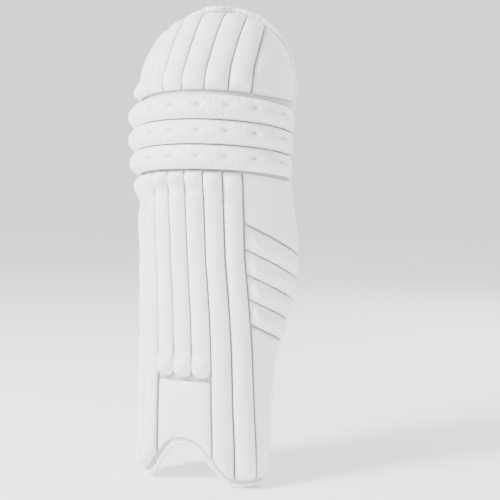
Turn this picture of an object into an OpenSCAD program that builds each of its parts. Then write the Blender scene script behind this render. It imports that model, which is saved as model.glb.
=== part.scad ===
// Cricket leg pad: a batsman's leg guard with three knee rolls, seven shin rolls, a quilted
// calf wing, a top hat that flexes at the knee, inner cushions and three hook-and-loop straps.
// The leg goes in from behind (+Y). The face looks to -Y, and the calf wing is on +X.
// Places on the pad are given by s, the arc length from the middle of the face, and by the height z.

/* [Overall] */
// Height of the pad from the feet to the top of the top hat
pad_h = 696; // [580:1:835]
// Width of the pad across the knee
pad_w = 232; // [193:1:278]
// Depth of the pad from the face to the back edges
pad_d = 111; // [93:1:133]
// Thickness of the moulded face
face_t = 8; // [6.5:0.1:9.6]

/* [Rolls] */
// Width of one shin roll at the middle of the shin
shin_roll_w = 26.9; // [22.5:0.1:32]
// Width of one shin roll at the feet
foot_roll_w = 30.6; // [25:0.1:33]
// How far a shin roll stands out
shin_roll_h = 11; // [9:0.5:14]
// Width of one top hat roll
hat_roll_w = 32.9; // [28:0.1:36]
// How far a top hat roll stands out
hat_roll_h = 9; // [7:0.5:12]
// Height of one knee roll
knee_roll_w = 34.2; // [32:0.5:38]
// How far a knee roll stands out
knee_roll_h = 19; // [15:0.5:24]
// Diameter of the cane in each shin roll
cane_d = 6; // [4:0.5:7]

/* [Foot] */
// Height of the instep arch
arch_h = 58; // [48:1:75]
// Half of the arch's span at the floor
arch_half = 78; // [65:1:80]

/* [Cushions] */
// Thickness of the side bolsters
bolster_t = 27; // [22:1:30]
// Thickness of the knee cushions
knee_cushion_t = 22; // [18:1:26]
// Thickness of the shin pad
shin_pad_t = 12; // [9:1:15]
// Thickness of the top hat liner
liner_t = 13; // [10:1:16]

/* [Straps] */
// Width of the calf and ankle webbing
wide_band_w = 50; // [42:1:60]
// Width of the knee webbing
knee_band_w = 26; // [21:1:31]
// Thickness of the webbing
webbing_t = 1.8; // [1.4:0.1:2.2]
// Radius of a buckle's bars
bar_r = 2.2; // [1.8:0.1:2.6]
// Distance between a buckle's two bars
bar_gap = 13; // [12.5:0.1:15.5]

/* [Edges] */
// Radius of the edge binding
binding_r = 4.2; // [3.4:0.1:5]
// Radius of the top hat's thicker binding
hat_binding_r = 5.2; // [4.2:0.1:6]

/* [Hidden] */
SHIN_ROLLS = 7;
HAT_ROLLS = 7;
KNEE_ROLLS = 3;
QUILTS = 4;

// Scale of the outline against the size that its points are written for
kz = pad_h / 696;
kw = pad_w / 232;
kd = pad_d / 111;
gap = 0.4;        // between pieces that lie on each other
curved_gap = 1;   // the same where both are strongly curved
rim = 1.2;        // thickness of a padded piece at its edge
tilt = 0.156;     // fall of the knee rolls towards the back, height over depth
seam_top = 560;   // height of the seam between the knee rolls and the top hat
dome_start = 562; // height where the top hat starts to close in
dome_power = 2.3;
foot_lift = 2 * binding_r + 1.2;         // the binding lies under the face's lower edge
hat_top_z = pad_h - 2 * hat_binding_r + 1; // and over its upper edge
soften = 12;      // half the height over which the outline's corners are blended

// The outline's points: height, then distance in mm
front_line = [[0, -40], [40, -43], [110, -42], [155, -39], [200, -36], [250, -36.5], [300, -40],
    [365, -45], [440, -51], [477, -56], [512, -56], [551, -54], [593, -43], [634, -15], [669, 14],
    [686, 32], [696, 42]];
wing_back_line = [[0, 3], [60, 10], [110, 15], [155, 22], [196, 32], [234, 48], [261, 58], [294, 68],
    [330, 72], [365, 69], [400, 61], [440, 49], [477, 50], [512, 55], [551, 60], [593, 68], [634, 72],
    [669, 65], [686, 52], [696, 46]];
plain_back_line = [[0, 3], [60, 9], [155, 17], [234, 25], [330, 36], [400, 42], [440, 45], [477, 50],
    [512, 55], [551, 60], [593, 68], [634, 72], [669, 65], [686, 52], [696, 46]];
wing_half_line = [[0, 95], [60, 98], [155, 97], [196, 102], [234, 110], [294, 119], [330, 121],
    [365, 120], [400, 117], [440, 115], [512, 116], [696, 116]];
plain_half_line = [[0, 98], [60, 102], [155, 100], [234, 103], [330, 106], [400, 108], [440, 110],
    [512, 116], [696, 116]];

function blended(z, line) = (lookup(z - soften, line) + 2 * lookup(z, line) + lookup(z + soften, line)) / 4;
function closing(z) = z <= dome_start ? 1
    : pow(1 - pow(min(1, (z - dome_start) / (hat_top_z / kz + 1 - dome_start)), dome_power), 1 / dome_power);
function front_y(z) = kd * blended(z / kz, front_line);
function back_y(s, z) = kd * blended(z / kz, s < 0 ? plain_back_line : wing_back_line);
function half_w(s, z) = kw * closing(z / kz) * blended(z / kz, s < 0 ? plain_half_line : wing_half_line);

// Each level is half an ellipse. The table pairs the arc length with the ellipse's angle.
ARC_STEPS = 15;
function arc_step(a, b, i) =
    let (p = i * 90 / ARC_STEPS, q = (i + 1) * 90 / ARC_STEPS)
    norm([a * (sin(q) - sin(p)), b * (cos(q) - cos(p))]);
function arc_table(a, b) =
    [for (i = 0, len = 0; i <= ARC_STEPS; len = len + arc_step(a, b, i), i = i + 1) [len, i * 90 / ARC_STEPS]];
function edge_s(side, z) = arc_table(half_w(side, z), back_y(side, z) - front_y(z))[ARC_STEPS][0];

// A point on the face's outer skin, and the skin's outward direction there
function skin(s, z) =
    let (a = half_w(s, z), yb = back_y(s, z), b = yb - front_y(z), table = arc_table(a, b),
         len = table[ARC_STEPS][0], t = lookup(min(abs(s), len), table))
    [sign(s) * a * sin(t), yb - b * cos(t) + max(0, abs(s) - len), z];
function outward(s, z) =
    let (n = cross(skin(s + 1, z) - skin(s - 1, z), skin(s, z + 1) - skin(s, z - 1))) n / norm(n);
function on_pad(s, z, d) = skin(s, z) + d * outward(s, z);

// Height of a level that falls towards the back, as the knee rolls do
function fallen(s, z) = z - tilt * (skin(s, z)[1] - front_y(z));
z_seam = kz * seam_top;

// The shin rolls and the arch lie a little towards the plain side. Roll boundary k, counted from the
// middle roll's centre line, is at this arc length.
function roll_mid(z) = kw * lookup(z / kz, [[60, -14], [330, -18]]);
function roll_w(z) = lookup(z / kz, [[60, foot_roll_w], [330, shin_roll_w]]);
// At the foot the two outer rolls on the plain side share what the instep panel and a strip leave.
foot_strip = 8;
foot_outer_w = (edge_s(-1, 60 * kz) - foot_strip + roll_mid(60 * kz) - 1.5 * foot_roll_w) / 2;
function outer_w(z) = lookup(z / kz, [[60, foot_outer_w], [330, shin_roll_w]]);
function roll_s(k, z) = roll_mid(z) + max(k, -1.5) * roll_w(z) + min(0, k + 1.5) * outer_w(z);

// The feet and the arch between them
foot_r = 20; // radius of the foot's outer corner
foot_z = foot_lift + foot_r;
foot_edge = [edge_s(-1, foot_z), edge_s(1, foot_z)];
function foot_end(s) = s < 0 ? foot_edge[0] : foot_edge[1];
function bottom_z(s) =
    let (in = foot_end(s) - foot_r, over = min(foot_r, max(0, abs(s) - in)))
    foot_lift + (abs(s - roll_mid(0)) < arch_half
        ? arch_h * (1 + cos(180 * pow(abs(s - roll_mid(0)) / arch_half, 1.3))) / 2
        : foot_r - sqrt(foot_r * foot_r - over * over));

function mix(a, b, t) = a + (b - a) * t;
function dome(t) = sin(180 * t);
function smooth(t) = let (x = max(0, min(1, t))) x * x * (3 - 2 * x);
function across(t) = (1 - cos(180 * t)) / 2;
function ends(t, share) = pow(min(1, min(t, 1 - t) / share), 0.5);

// The part stands with its feet at z = 0, with the middle of its depth at y = 0
mid_y = (72 * kd + 2 * hat_binding_r - 56 * kd - knee_roll_h - gap) / 2;
module placed() translate([0, -mid_y, 0]) children();

// A closed solid between two grids of points. u runs with s, and v runs with z.
module grid_solid(outer, inner, nu, nv) {
    w = nu + 1;
    n = w * (nv + 1);
    points = concat(
        [for (j = [0:nv]) for (i = [0:nu]) outer(i / nu, j / nv)],
        [for (j = [0:nv]) for (i = [0:nu]) inner(i / nu, j / nv)]);
    skins = [for (j = [0:nv - 1]) for (i = [0:nu - 1])
        let (a = j * w + i, b = a + 1, c = b + w, d = a + w)
        each [[a, d, c], [a, c, b], [n + a, n + b, n + c], [n + a, n + c, n + d]]];
    low_high = [for (i = [0:nu - 1]) let (a = i, b = i + 1, c = nv * w + i + 1, d = nv * w + i)
        each [[a, b, n + b], [a, n + b, n + a], [c, d, n + d], [c, n + d, n + c]]];
    sides = [for (j = [0:nv - 1]) let (a = j * w, d = a + w, b = a + nu, c = b + w)
        each [[d, a, n + a], [d, n + a, n + d], [b, c, n + c], [b, n + c, n + b]]];
    placed() polyhedron(points = points, faces = concat(skins, low_high, sides), convexity = 6);
}

// A padded piece on the outside (dir 1) or the inside (dir -1) of the face. at(u, v) gives [s, z].
module padded(at, base, crown, nu, nv, dir = 1) {
    low = function(u, v) let (p = at(u, v)) on_pad(p[0], p[1], dir * base);
    high = function(u, v) let (p = at(u, v)) on_pad(p[0], p[1], dir * (base + rim + crown(u, v)));
    if (dir > 0) grid_solid(high, low, nu, nv);
    else grid_solid(low, high, nu, nv);
}

// A round tube along a path of [point, side direction]
module tube(path, r, sides = 8) {
    n = len(path);
    rings = [for (i = [0:n - 1])
        let (t = path[min(n - 1, i + 1)][0] - path[max(0, i - 1)][0],
             b = cross(t, path[i][1]), bu = b / norm(b), nn = cross(bu, t), nu = nn / norm(nn))
        for (k = [0:sides - 1])
            path[i][0] + r * (cos(k * 360 / sides) * nu + sin(k * 360 / sides) * bu)];
    walls = [for (i = [0:n - 2]) for (k = [0:sides - 1])
        let (a = i * sides + k, b = i * sides + (k + 1) % sides, c = b + sides, d = a + sides)
        each [[a, b, c], [a, c, d]]];
    caps = [for (k = [1:sides - 2]) each
        [[0, k + 1, k], [(n - 1) * sides, (n - 1) * sides + k, (n - 1) * sides + k + 1]]];
    placed() polyhedron(points = rings, faces = concat(walls, caps), convexity = 8);
}

// ---- Face ----
hinge_y = -40 * kd;    // the top hat's flex line lies just behind the front seam
flex_tan = tan(5.5);   // room for the top hat's flex
skirt = 12;            // how far the top hat tucks in behind the upper knee roll
skirt_room = 4.5;      // between the skirt's edge and the moulded face
function below_hat(s, drop) =
    let (y = skin(s, z_seam)[1]) fallen(s, z_seam) - drop - flex_tan * (y - hinge_y);

module moulded_face() color("whitesmoke") {
    z_top = function(w) below_hat(w * edge_s(w, z_seam), skirt + skirt_room);
    z_at = function(u, v) let (w = 2 * u - 1) mix(bottom_z(w * foot_end(w)), z_top(w), v);
    at = function(u, v) let (z = z_at(u, v)) [(2 * u - 1) * edge_s(2 * u - 1, z), z];
    grid_solid(function(u, v) let (p = at(u, v)) on_pad(p[0], p[1], 0),
        function(u, v) let (p = at(u, v)) on_pad(p[0], p[1], -face_t), 22, 14);
}

z_instep = kz * 155; // the three middle rolls stop here, above the instep panel
z_shin_top = kz * 455;
z_knee_low = z_seam - KNEE_ROLLS * knee_roll_w; // lower edge of the lowest knee roll, at the front
function shin_top(s) = fallen(s, z_knee_low) - 1;

module instep_panel() color("whitesmoke") {
    at = function(u, v) let (k = mix(-1.5, 1.5, u), inset = gap * (1 - 2 * u),
             z = mix(bottom_z(roll_s(k, arch_h)) + 1.5, z_instep - 1, v))
        [roll_s(k, z) + inset, z];
    padded(at, gap, function(u, v) 4 * ends(u, 0.2) * ends(v, 0.2), 6, 6);
}

// A shin roll: swollen at its top end and, on the long ones, at the foot
module shin_roll(i) color("white") {
    k0 = i - (SHIN_ROLLS + 1) / 2;
    low = function(s) abs(k0) < 1.5 ? z_instep + 1 : bottom_z(s) + 2;
    at = function(u, v) let (k = k0 + across(u) - 0.5, inset = gap * (1 - 2 * across(u)),
             z = mix(low(roll_s(k, foot_z)), shin_top(roll_s(k, z_shin_top)), v))
        [roll_s(k, z) + inset, z];
    swell = function(v) 3 * (exp(-pow((v - 0.95) / 0.05, 2)) + exp(-pow((v - 0.05) / 0.06, 2)));
    difference() {
        padded(at, gap, function(u, v) dome(u) * (shin_roll_h - rim + swell(v)) * ends(v, 0.06), 6, 9);
        cane(k0, cane_d / 2 + 0.25);
    }
}

// The straight cane in a roll lies between the same two heights in every roll
z_cane = [z_instep + 60 * kz, z_shin_top - 60 * kz];
cane_depth = gap + rim + (shin_roll_h - rim) * 0.42;
module cane(k, r) {
    p = on_pad(roll_s(k, z_cane[0]), z_cane[0], cane_depth);
    q = on_pad(roll_s(k, z_cane[1]), z_cane[1], cane_depth);
    v = q - p;
    ext = r - cane_d / 2;
    placed() translate(p - v / norm(v) * ext)
        rotate([0, acos(v[2] / norm(v)), atan2(v[1], v[0])])
            cylinder(h = norm(v) + 2 * ext, r = r, $fn = 24);
}
module shin_canes() color("burlywood")
    for (i = [1:SHIN_ROLLS]) cane(i - (SHIN_ROLLS + 1) / 2, cane_d / 2);

// ---- Sides ----
// Where the rolls end and the side panels start
function side_s(side, z) = roll_s(side * SHIN_ROLLS / 2, z) + side * gap;
edge_in = 2;                                 // side pieces stop this far from the edge
panel_low = foot_z - 0.2 * foot_r;
function side_end(side, z) = edge_s(side, z) - edge_in;
module plain_side_panel() color("white") {
    z0 = panel_low;
    at = function(u, v) let (z = mix(z0, below_plain(), v)) [mix(-side_end(-1, z), side_s(-1, z), u), z];
    padded(at, gap, function(u, v) 3 * ends(u, 0.3) * ends(v, 0.05), 4, 10);
}
function below_plain() = fallen(-edge_s(-1, z_knee_low), z_knee_low) - 2;

// The wing's diagonal seams start at these heights by the rolls and fall towards the back edge
seam_fall = 0.5;  // height lost over arc length
quilt_z = [for (i = [0:QUILTS]) kz * (236 + 36 * i)];
function quilt_seam(s, k) = quilt_z[k] - seam_fall * (s - side_s(1, quilt_z[k]));
// Arc length of the wing's edge where seam k meets it, found by stepping
function seam_end(k, s = side_s(1, quilt_z[0]), n = 7) =
    n == 0 ? s : seam_end(k, mix(s, side_end(1, quilt_seam(s, k)), 0.7), n - 1);
module wing_quilt(k) color("white") {
    ends_s = [seam_end(k - 1), seam_end(k)];
    roll_side = function(v) side_s(1, mix(quilt_z[k - 1], quilt_z[k], v));
    at = function(u, v) let (s = mix(roll_side(v), mix(ends_s[0], ends_s[1], v), u))
        [s, mix(quilt_seam(s, k - 1) + gap, quilt_seam(s, k) - gap, v)];
    padded(at, curved_gap, function(u, v) 7 * ends(u, 0.25) * dome(v), 5, 5);
}
module wing_upper_panel() color("white") {
    z_low = function(u) quilt_seam(mix(side_s(1, quilt_z[QUILTS]), seam_end(QUILTS), u), QUILTS) + gap;
    z_ends = [shin_top(side_s(1, z_shin_top)), fallen(edge_s(1, z_knee_low), z_knee_low) - 2];
    z_high = function(u) mix(z_ends[0], z_ends[1], u);
    at = function(u, v) let (z_edge = mix(z_low(1), z_high(1), v), z_roll = mix(z_low(0), z_high(0), v))
        [mix(side_s(1, z_roll), side_end(1, z_edge), u), mix(z_low(u), z_high(u), v)];
    padded(at, curved_gap, function(u, v) 4 * ends(u, 0.2) * ends(v, 0.1), 6, 8);
}
module wing_lower_panel() color("white") {
    z_low = panel_low;
    z_high = function(u) quilt_seam(mix(side_s(1, quilt_z[0]), seam_end(0), u), 0) - gap;
    at = function(u, v) let (z_edge = mix(z_low, z_high(1), v), z_roll = mix(z_low, z_high(0), v))
        [mix(side_s(1, z_roll), side_end(1, z_edge), u), mix(z_low, z_high(u), v)];
    padded(at, curved_gap, function(u, v) 4 * ends(u, 0.3) * ends(v, 0.1), 4, 7);
}

// ---- Knee ----
module knee_roll(i) color("white") {
    z_mid = z_seam - (i - 0.5) * knee_roll_w;
    half = knee_roll_w / 2 - 0.5;
    at = function(u, v) let (s = (2 * u - 1) * (edge_s(2 * u - 1, z_mid) - 1))
        [s, fallen(s, z_mid) + half * (2 * across(v) - 1)];
    full = function(u) min(1, 1.25 - 1.05 * pow(abs(2 * u - 1), 3)); // the roll thins towards the back edges
    crown = function(u, v) dome(v) * (knee_roll_h - rim) * full(u) * mix(0.5, 1, ends(u, 0.03));
    padded(at, gap, crown, 24, 6);
}

// ---- Top hat ----
hat_gap = 1.6; // between the skirt and the pieces in front of it and behind it
hat_levels = [for (k = [0:12]) mix(kz * 600, hat_top_z, k / 12)];
hat_edge = [for (z = hat_levels) [edge_s(1, z), z]];
function hat_top(s, margin) = lookup(abs(s) + margin, hat_edge) - margin * 0.25;
hat_t = face_t - 2;
module top_hat_face() color("whitesmoke") {
    z0 = fallen(0, z_seam) - skirt;
    at = function(u, v)
        let (w = 2 * u - 1, z_lin = mix(z0, hat_top_z, v), fall = tilt * (1 - v) * (1 - v),
             s = w * edge_s(w, z_lin), z = z_lin - fall * (skin(s, z_lin)[1] - front_y(z_lin)))
        [w * edge_s(w, z), z];
    sunk = function(v) hat_gap * (1 - min(1, v * 4.5));
    grid_solid(function(u, v) let (p = at(u, v)) on_pad(p[0], p[1], -sunk(v)),
        function(u, v) let (p = at(u, v)) on_pad(p[0], p[1], -hat_t + sunk(v)), 20, 9);
}
roll_start = 5; // the hat's rolls start this far above the seam
hat_mid = -26 * kw; // the rolls' middle lies towards the plain side, and a flat panel fills the wing side
// The lower ends leave room for the flex, which grows towards the back
function hat_low(s) = fallen(s, z_seam) + max(roll_start, flex_tan * (skin(s, z_seam)[1] - hinge_y) + 1.5);
module hat_piece(s_from, s_to, crown) {
    at = function(u, v) let (s = mix(s_from + gap, s_to - gap, across(u)))
        [s, mix(hat_low(s), hat_top(s, 7) - 3, v)];
    padded(at, curved_gap, crown, 6, 7);
}
module top_hat_roll(i) color("white") {
    s0 = hat_mid + (i - (HAT_ROLLS + 1) / 2) * hat_roll_w;
    swell = function(v) 3.5 * exp(-pow((v - 0.14) / 0.1, 2));
    hat_piece(s0 - hat_roll_w / 2, s0 + hat_roll_w / 2,
        function(u, v) dome(u) * (hat_roll_h - rim + swell(v)) * ends(v, 0.12));
}
hat_panel_end = 8; // the flat panel stops this far from the hat's back edge
module top_hat_side_panel() color("white")
    hat_piece(hat_mid + HAT_ROLLS / 2 * hat_roll_w, edge_s(1, z_seam) - hat_panel_end,
        function(u, v) 2.4 * ends(u, 0.2) * ends(v, 0.12));
module top_hat_liner() color("whitesmoke") {
    z0 = fallen(0, z_seam) + 3;
    at = function(u, v)
        let (w = 2 * u - 1, z_lin = mix(z0, hat_top_z - 18, v),
             fall = tilt * (1 - v) * (1 - v),
             s = w * edge_s(w, z_lin), z = z_lin - fall * (skin(s, z_lin)[1] - front_y(z_lin)))
        [w * max(4, edge_s(w, z) - 5), z];
    crown = function(u, v) (liner_t - rim) * ends(u, 0.12) * ends(v, 0.1) * mix(1, 0.5, v);
    padded(at, hat_t + curved_gap, crown, 18, 7, dir = -1);
}
module top_hat_binding() color("white") {
    low = fallen(edge_s(1, z_seam), z_seam) + 3;
    out = hat_binding_r + 2.4;
    // the binding sits behind the upright edges and turns over the top
    seat = function(s, z) let (turn = 68 * smooth((z / kz - 610) / 66))
        [on_pad(s, z, -hat_t / 2) + out * [0, cos(turn), sin(turn)], [sign(s), 0, 0.01]];
    rise = [for (k = [0:13]) mix(low, hat_top_z, sin(90 * k / 13))];
    path = concat([for (z = rise) seat(edge_s(1, z), z)],
        [for (w = [0.6:-0.4:-0.6]) seat(w * edge_s(1, hat_top_z), hat_top_z)],
        [for (k = [13:-1:0]) seat(-edge_s(-1, rise[k]), rise[k])]);
    tube(path, hat_binding_r);
}

// ---- Edge binding: from the knee down the wing, round the feet and the arch, and up the plain side ----
module edge_binding() color("gainsboro") {
    out = binding_r + 1.2;
    n_foot = 5;
    z_high = below_hat(edge_s(1, z_seam), skirt + skirt_room);
    edge = function(side, z) let (s = side * edge_s(side, z))
        [on_pad(s + side * out, z, -face_t / 2), outward(s, z)];
    corner = function(side, a) let (r = foot_r + out)
        [on_pad(side * (foot_end(side) - foot_r + r * sin(a)), foot_z - r * cos(a), -face_t / 2),
         outward(side * foot_end(side) * 0.95, foot_z)];
    under = function(s) let (slope = (bottom_z(s + 1) - bottom_z(s - 1)) / 2, k = norm([slope, 1]))
        [on_pad(s + out * slope / k, bottom_z(s) - out / k, -face_t / 2), outward(s, bottom_z(s))];
    heights = [for (k = [0:16]) mix(z_high, foot_z + 2, k / 16)];
    foot_in = [foot_end(-1) - foot_r, foot_end(1) - foot_r];
    path = concat([for (z = heights) edge(1, z)],
        [for (a = [75:-25:0]) corner(1, a)],
        [for (k = [1:15]) under(mix(foot_in[1], -foot_in[0], k / 16))],
        [for (a = [0:25:75]) corner(-1, a)],
        [for (k = [16:-1:0]) edge(-1, heights[k])]);
    tube(path, binding_r);
}

// ---- Inner cushions ----
in_base = face_t + curved_gap;
z_cushion_low = z_seam - 118 * kz;
function cushion_top(s) = below_hat(s, 5);
module knee_cushion(s_a, s_b) color("whitesmoke") {
    at = function(u, v) let (s = mix(s_a, s_b, u)) [s, mix(fallen(s, z_cushion_low), cushion_top(s), v)];
    padded(at, in_base + hat_gap, function(u, v) (knee_cushion_t - rim) * ends(u, 0.2) * ends(v, 0.15),
        7, 6, dir = -1);
}
// Where the three columns of inner padding meet, as arc lengths
inner_wing = 34 * kw;
inner_plain = -42 * kw;
module knee_cushion_centre() knee_cushion(inner_plain + 1, inner_wing - 1);
cushion_reach = 150 * kw;
module knee_cushion_wing_side() knee_cushion(inner_wing + 1, cushion_reach);
module knee_cushion_plain_side() knee_cushion(-cushion_reach, inner_plain - 1);

z_bolster = [kz * 92, z_cushion_low - 8];
// The bolsters narrow towards the ankle
module bolster(s_in, s_out) color("whitesmoke") {
    at = function(u, v)
        let (narrow = 12 * pow(1 - v, 3), z = mix(z_bolster[0], fallen(s_in, z_bolster[1]) - 2, v),
             a = s_in + sign(s_in) * narrow * 0.4, b = s_out - sign(s_in) * narrow * 2.2)
        [s_in > 0 ? mix(a, b, u) : mix(b, a, u), z];
    padded(at, in_base, function(u, v) (bolster_t - rim) * ends(u, 0.35) * ends(v, 0.1), 6, 10, dir = -1);
}
bolster_wing_s = 118 * kw;
bolster_plain_s = -106 * kw;
module wing_side_bolster() bolster(inner_wing + 3, bolster_wing_s);
module plain_side_bolster() bolster(inner_plain - 3, bolster_plain_s);

z_shin_pad = kz * 128;
module shin_pad() color("white") {
    at = function(u, v) let (s = mix(inner_plain + 1, inner_wing - 1, u),
        low = z_shin_pad + 14 * cos(180 * (u - 0.5)) * kz)
        [s, mix(low, fallen(s, z_bolster[1]) - 2, v)];
    padded(at, in_base, function(u, v) (shin_pad_t - rim) * ends(u, 0.25) * ends(v, 0.06), 6, 8, dir = -1);
}
lining_edge = 9; // the linings stop this far from the pad's back edges
module ankle_lining(s_a, s_b) color("white") {
    z_high = min(z_bolster[0], z_shin_pad) - 3;
    at = function(u, v) let (s = mix(s_a, s_b, u)) [s, mix(bottom_z(s) + 3, z_high, v)];
    padded(at, in_base, function(u, v) 4 * ends(u, 0.15) * ends(v, 0.2), 6, 4, dir = -1);
}
module ankle_lining_centre() ankle_lining(inner_plain + 1, inner_wing - 1);
module ankle_lining_wing_side() ankle_lining(inner_wing + 1, foot_edge[1] - lining_edge);
module ankle_lining_plain_side() ankle_lining(-foot_edge[0] + lining_edge, inner_plain - 1);

// The wing's lining covers its inner face between the bolster and the straps' sewn ends
module wing_lining() color("white") {
    at = function(u, v) let (z = mix(kz * 245, z_cushion_low - 30, v))
        [mix(bolster_wing_s + 3, edge_s(1, z) - sewn_len - 16, u), z];
    padded(at, in_base, function(u, v) 2 * ends(u, 0.2) * ends(v, 0.1), 4, 6, dir = -1);
}

// ---- Straps ----
// A strap's own frame: x runs from the plain edge to the wing edge, y points away from the leg.
KNEE = 0;
CALF = 1;
ANKLE = 2;
strap_z = [kz * 474, kz * 339, kz * 180];
strap_w = [knee_band_w, wide_band_w, wide_band_w];
anchor_len = [12, 32, 18];   // from the wing to the buckle's outer bar
tail_len = [26, 29, 115];     // from the fold to the tail's end
wing_lift = [9, -12, 22];    // how far behind the wing's edge the strap passes
sewn_len = 14;               // length of webbing sewn to the pad at each end
inner_room = face_t + 2;      // webbing sewn inside the pad stands this far in from the pad's side
wrap_room = 8;                // webbing sewn outside it stands off the plain side panel by this
lean = 8;                     // the sewn ends inside follow the pad's curve at this angle
edge_room = [wing_lift[KNEE], 2 * binding_r + 7, 2 * binding_r + 2.5]; // from the plain edge to the strap
function sewn_inside(k) = k == KNEE; // the knee strap's plain end is sewn inside, clear of the rolls
function strap_from(k) = [-half_w(-1, strap_z[k]) + (sewn_inside(k) ? inner_room + webbing_t : -wrap_room),
    back_y(-1, strap_z[k]) + edge_room[k]];
function strap_to(k) = [half_w(1, strap_z[k]) - inner_room, back_y(1, strap_z[k]) + wing_lift[k]];
function strap_len(k) = norm(strap_to(k) - strap_from(k));
function strap_angle(k) = let (v = strap_to(k) - strap_from(k)) atan2(v[1], v[0]);
module at_strap(k) {
    p = strap_from(k);
    placed() translate([p[0], p[1], strap_z[k]]) rotate([0, 0, strap_angle(k)]) children();
}
module flat_piece(height) translate([0, 0, -height / 2]) linear_extrude(height = height) children();

play = 1.2;                       // room for a buckle's bar in its webbing loops
loop_r = bar_r + play;            // inner radius of the fold and of the anchor's loop
fold_y = webbing_t + loop_r;      // centre of the bars above the band's back
function outer_bar_x(k) = strap_len(k) - anchor_len[k];
function inner_bar_x(k) = outer_bar_x(k) - bar_gap;
knuckle_r = webbing_t / 2;
tail_y = fold_y + loop_r + knuckle_r;      // height of the tail's hinge line
function tail_x(k) = inner_bar_x(k) - knuckle_r - 0.3;

// Half a ring of webbing round a bar, open towards -x
module half_ring() intersection() {
    difference() {
        circle(r = loop_r + webbing_t, $fn = 40);
        circle(r = loop_r, $fn = 40);
    }
    translate([0, -20]) square([20, 40]);
}

// At the plain edge the band turns forward and is sewn to the pad
turn_r = 3; // inner radius of webbing that turns a corner
module turn() difference() {
    intersection() {
        translate([turn_r, -turn_r]) circle(r = turn_r + webbing_t, $fn = 40);
        translate([-webbing_t, -turn_r]) square(turn_r + webbing_t);
    }
    translate([turn_r, -turn_r]) circle(r = turn_r, $fn = 40);
}
// The ankle strap is sewn to the strip of side panel that shows behind the outer roll
function sewn_out(k) = k == ANKLE ? edge_s(-1, strap_z[k]) + side_s(-1, strap_z[k]) - 1 : sewn_len;
function band_leg(k) = edge_room[k] + sewn_out(k) - turn_r;
module band(k) color("white") at_strap(k) flat_piece(strap_w[k]) {
    translate([turn_r, 0]) square([inner_bar_x(k) - turn_r, webbing_t]);
    turn();
    translate([0, -turn_r]) rotate(sewn_inside(k) ? lean : 0) translate([-webbing_t, -band_leg(k)])
        square([webbing_t, band_leg(k) + (sewn_inside(k) ? 1 : 0)]);
    translate([inner_bar_x(k), fold_y]) half_ring();
}
module knee_band() band(KNEE);
module calf_band() band(CALF);
module ankle_band() band(ANKLE);

// The tail hinges at the end of the fold and lies down towards the band
tape_t = 1.0;
function tail_drop(k) = tail_y - webbing_t - 2 * tape_t - knuckle_r;
function tail_slope(k) = asin(min(0.9, tail_drop(k) / tail_len[k]));
module in_tail(k) at_strap(k) translate([tail_x(k), tail_y]) rotate([0, 0, tail_slope(k)]) children();
tab_len = 19; // length of the moulded pull tab on the ankle strap
module tail(k) color("white") in_tail(k) flat_piece(strap_w[k] - 1) {
    circle(r = knuckle_r, $fn = 24);
    translate([-tail_len[k], -knuckle_r]) square([tail_len[k], webbing_t]);
}
module knee_tail() tail(KNEE);
module calf_tail() tail(CALF);
module ankle_tail() tail(ANKLE);

// Hook tape under the tail's free end
tape_len = 16;
module hook_tape(k) color("gainsboro") in_tail(k) flat_piece(strap_w[k] - 5)
    translate([-tail_len[k] + 1, -knuckle_r - tape_t]) square([tape_len, tape_t - 0.1]);
module knee_hook_tape() hook_tape(KNEE);
module calf_hook_tape() hook_tape(CALF);
module ankle_hook_tape() hook_tape(ANKLE);

// The moulded pull tab at the ankle tail's end is a D, cut from a disc
module ankle_pull_tab() color("whitesmoke") {
    half = wide_band_w / 2 - 1;
    disc_r = (half * half + tab_len * tab_len) / (2 * tab_len);
    in_tail(ANKLE) translate([-tail_len[ANKLE] - 0.4, knuckle_r, 0]) rotate([90, 0, 0])
        linear_extrude(height = webbing_t) intersection() {
            translate([disc_r - tab_len, 0]) circle(r = disc_r, $fn = 64);
            translate([-tab_len, -half]) square([tab_len, 2 * half]);
        }
}

// Anchor webbing loops round the buckle's outer bar, and its end is sewn to the inside of the wing
module loop_outline(r, reach) {
    circle(r = r, $fn = 40);
    translate([0, -r]) square([reach, 2 * r]);
}
module anchor(k) color("white") at_strap(k) flat_piece(strap_w[k] - 2) {
    reach = anchor_len[k];
    forward = max(wing_lift[k], 0) + sewn_len;
    translate([outer_bar_x(k), fold_y]) difference() {
        loop_outline(loop_r + webbing_t, reach);
        loop_outline(loop_r, reach - 2 * webbing_t);
    }
    translate([strap_len(k), webbing_t]) rotate(-strap_angle(k) - lean)
        translate([-2 * webbing_t, -forward - webbing_t]) square([2 * webbing_t, forward + webbing_t]);
}
module knee_anchor() anchor(KNEE);
module calf_anchor() anchor(CALF);
module ankle_anchor() anchor(ANKLE);

end_bar = 4.4; // height of the buckle's top and bottom bars
module buckle(k) color("white") at_strap(k) {
    inside = strap_w[k] + 2;
    for (x = [inner_bar_x(k), outer_bar_x(k)]) translate([x, fold_y, -inside / 2 - 1])
        cylinder(h = inside + 2, r = bar_r, $fn = 32);
    for (m = [0, 1]) mirror([0, 0, m])
        translate([inner_bar_x(k) - bar_r, fold_y - bar_r, inside / 2])
            cube([bar_gap + 2 * bar_r, 2 * bar_r, end_bar]);
}
module knee_buckle() buckle(KNEE);
module calf_buckle() buckle(CALF);
module ankle_buckle() buckle(ANKLE);

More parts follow.
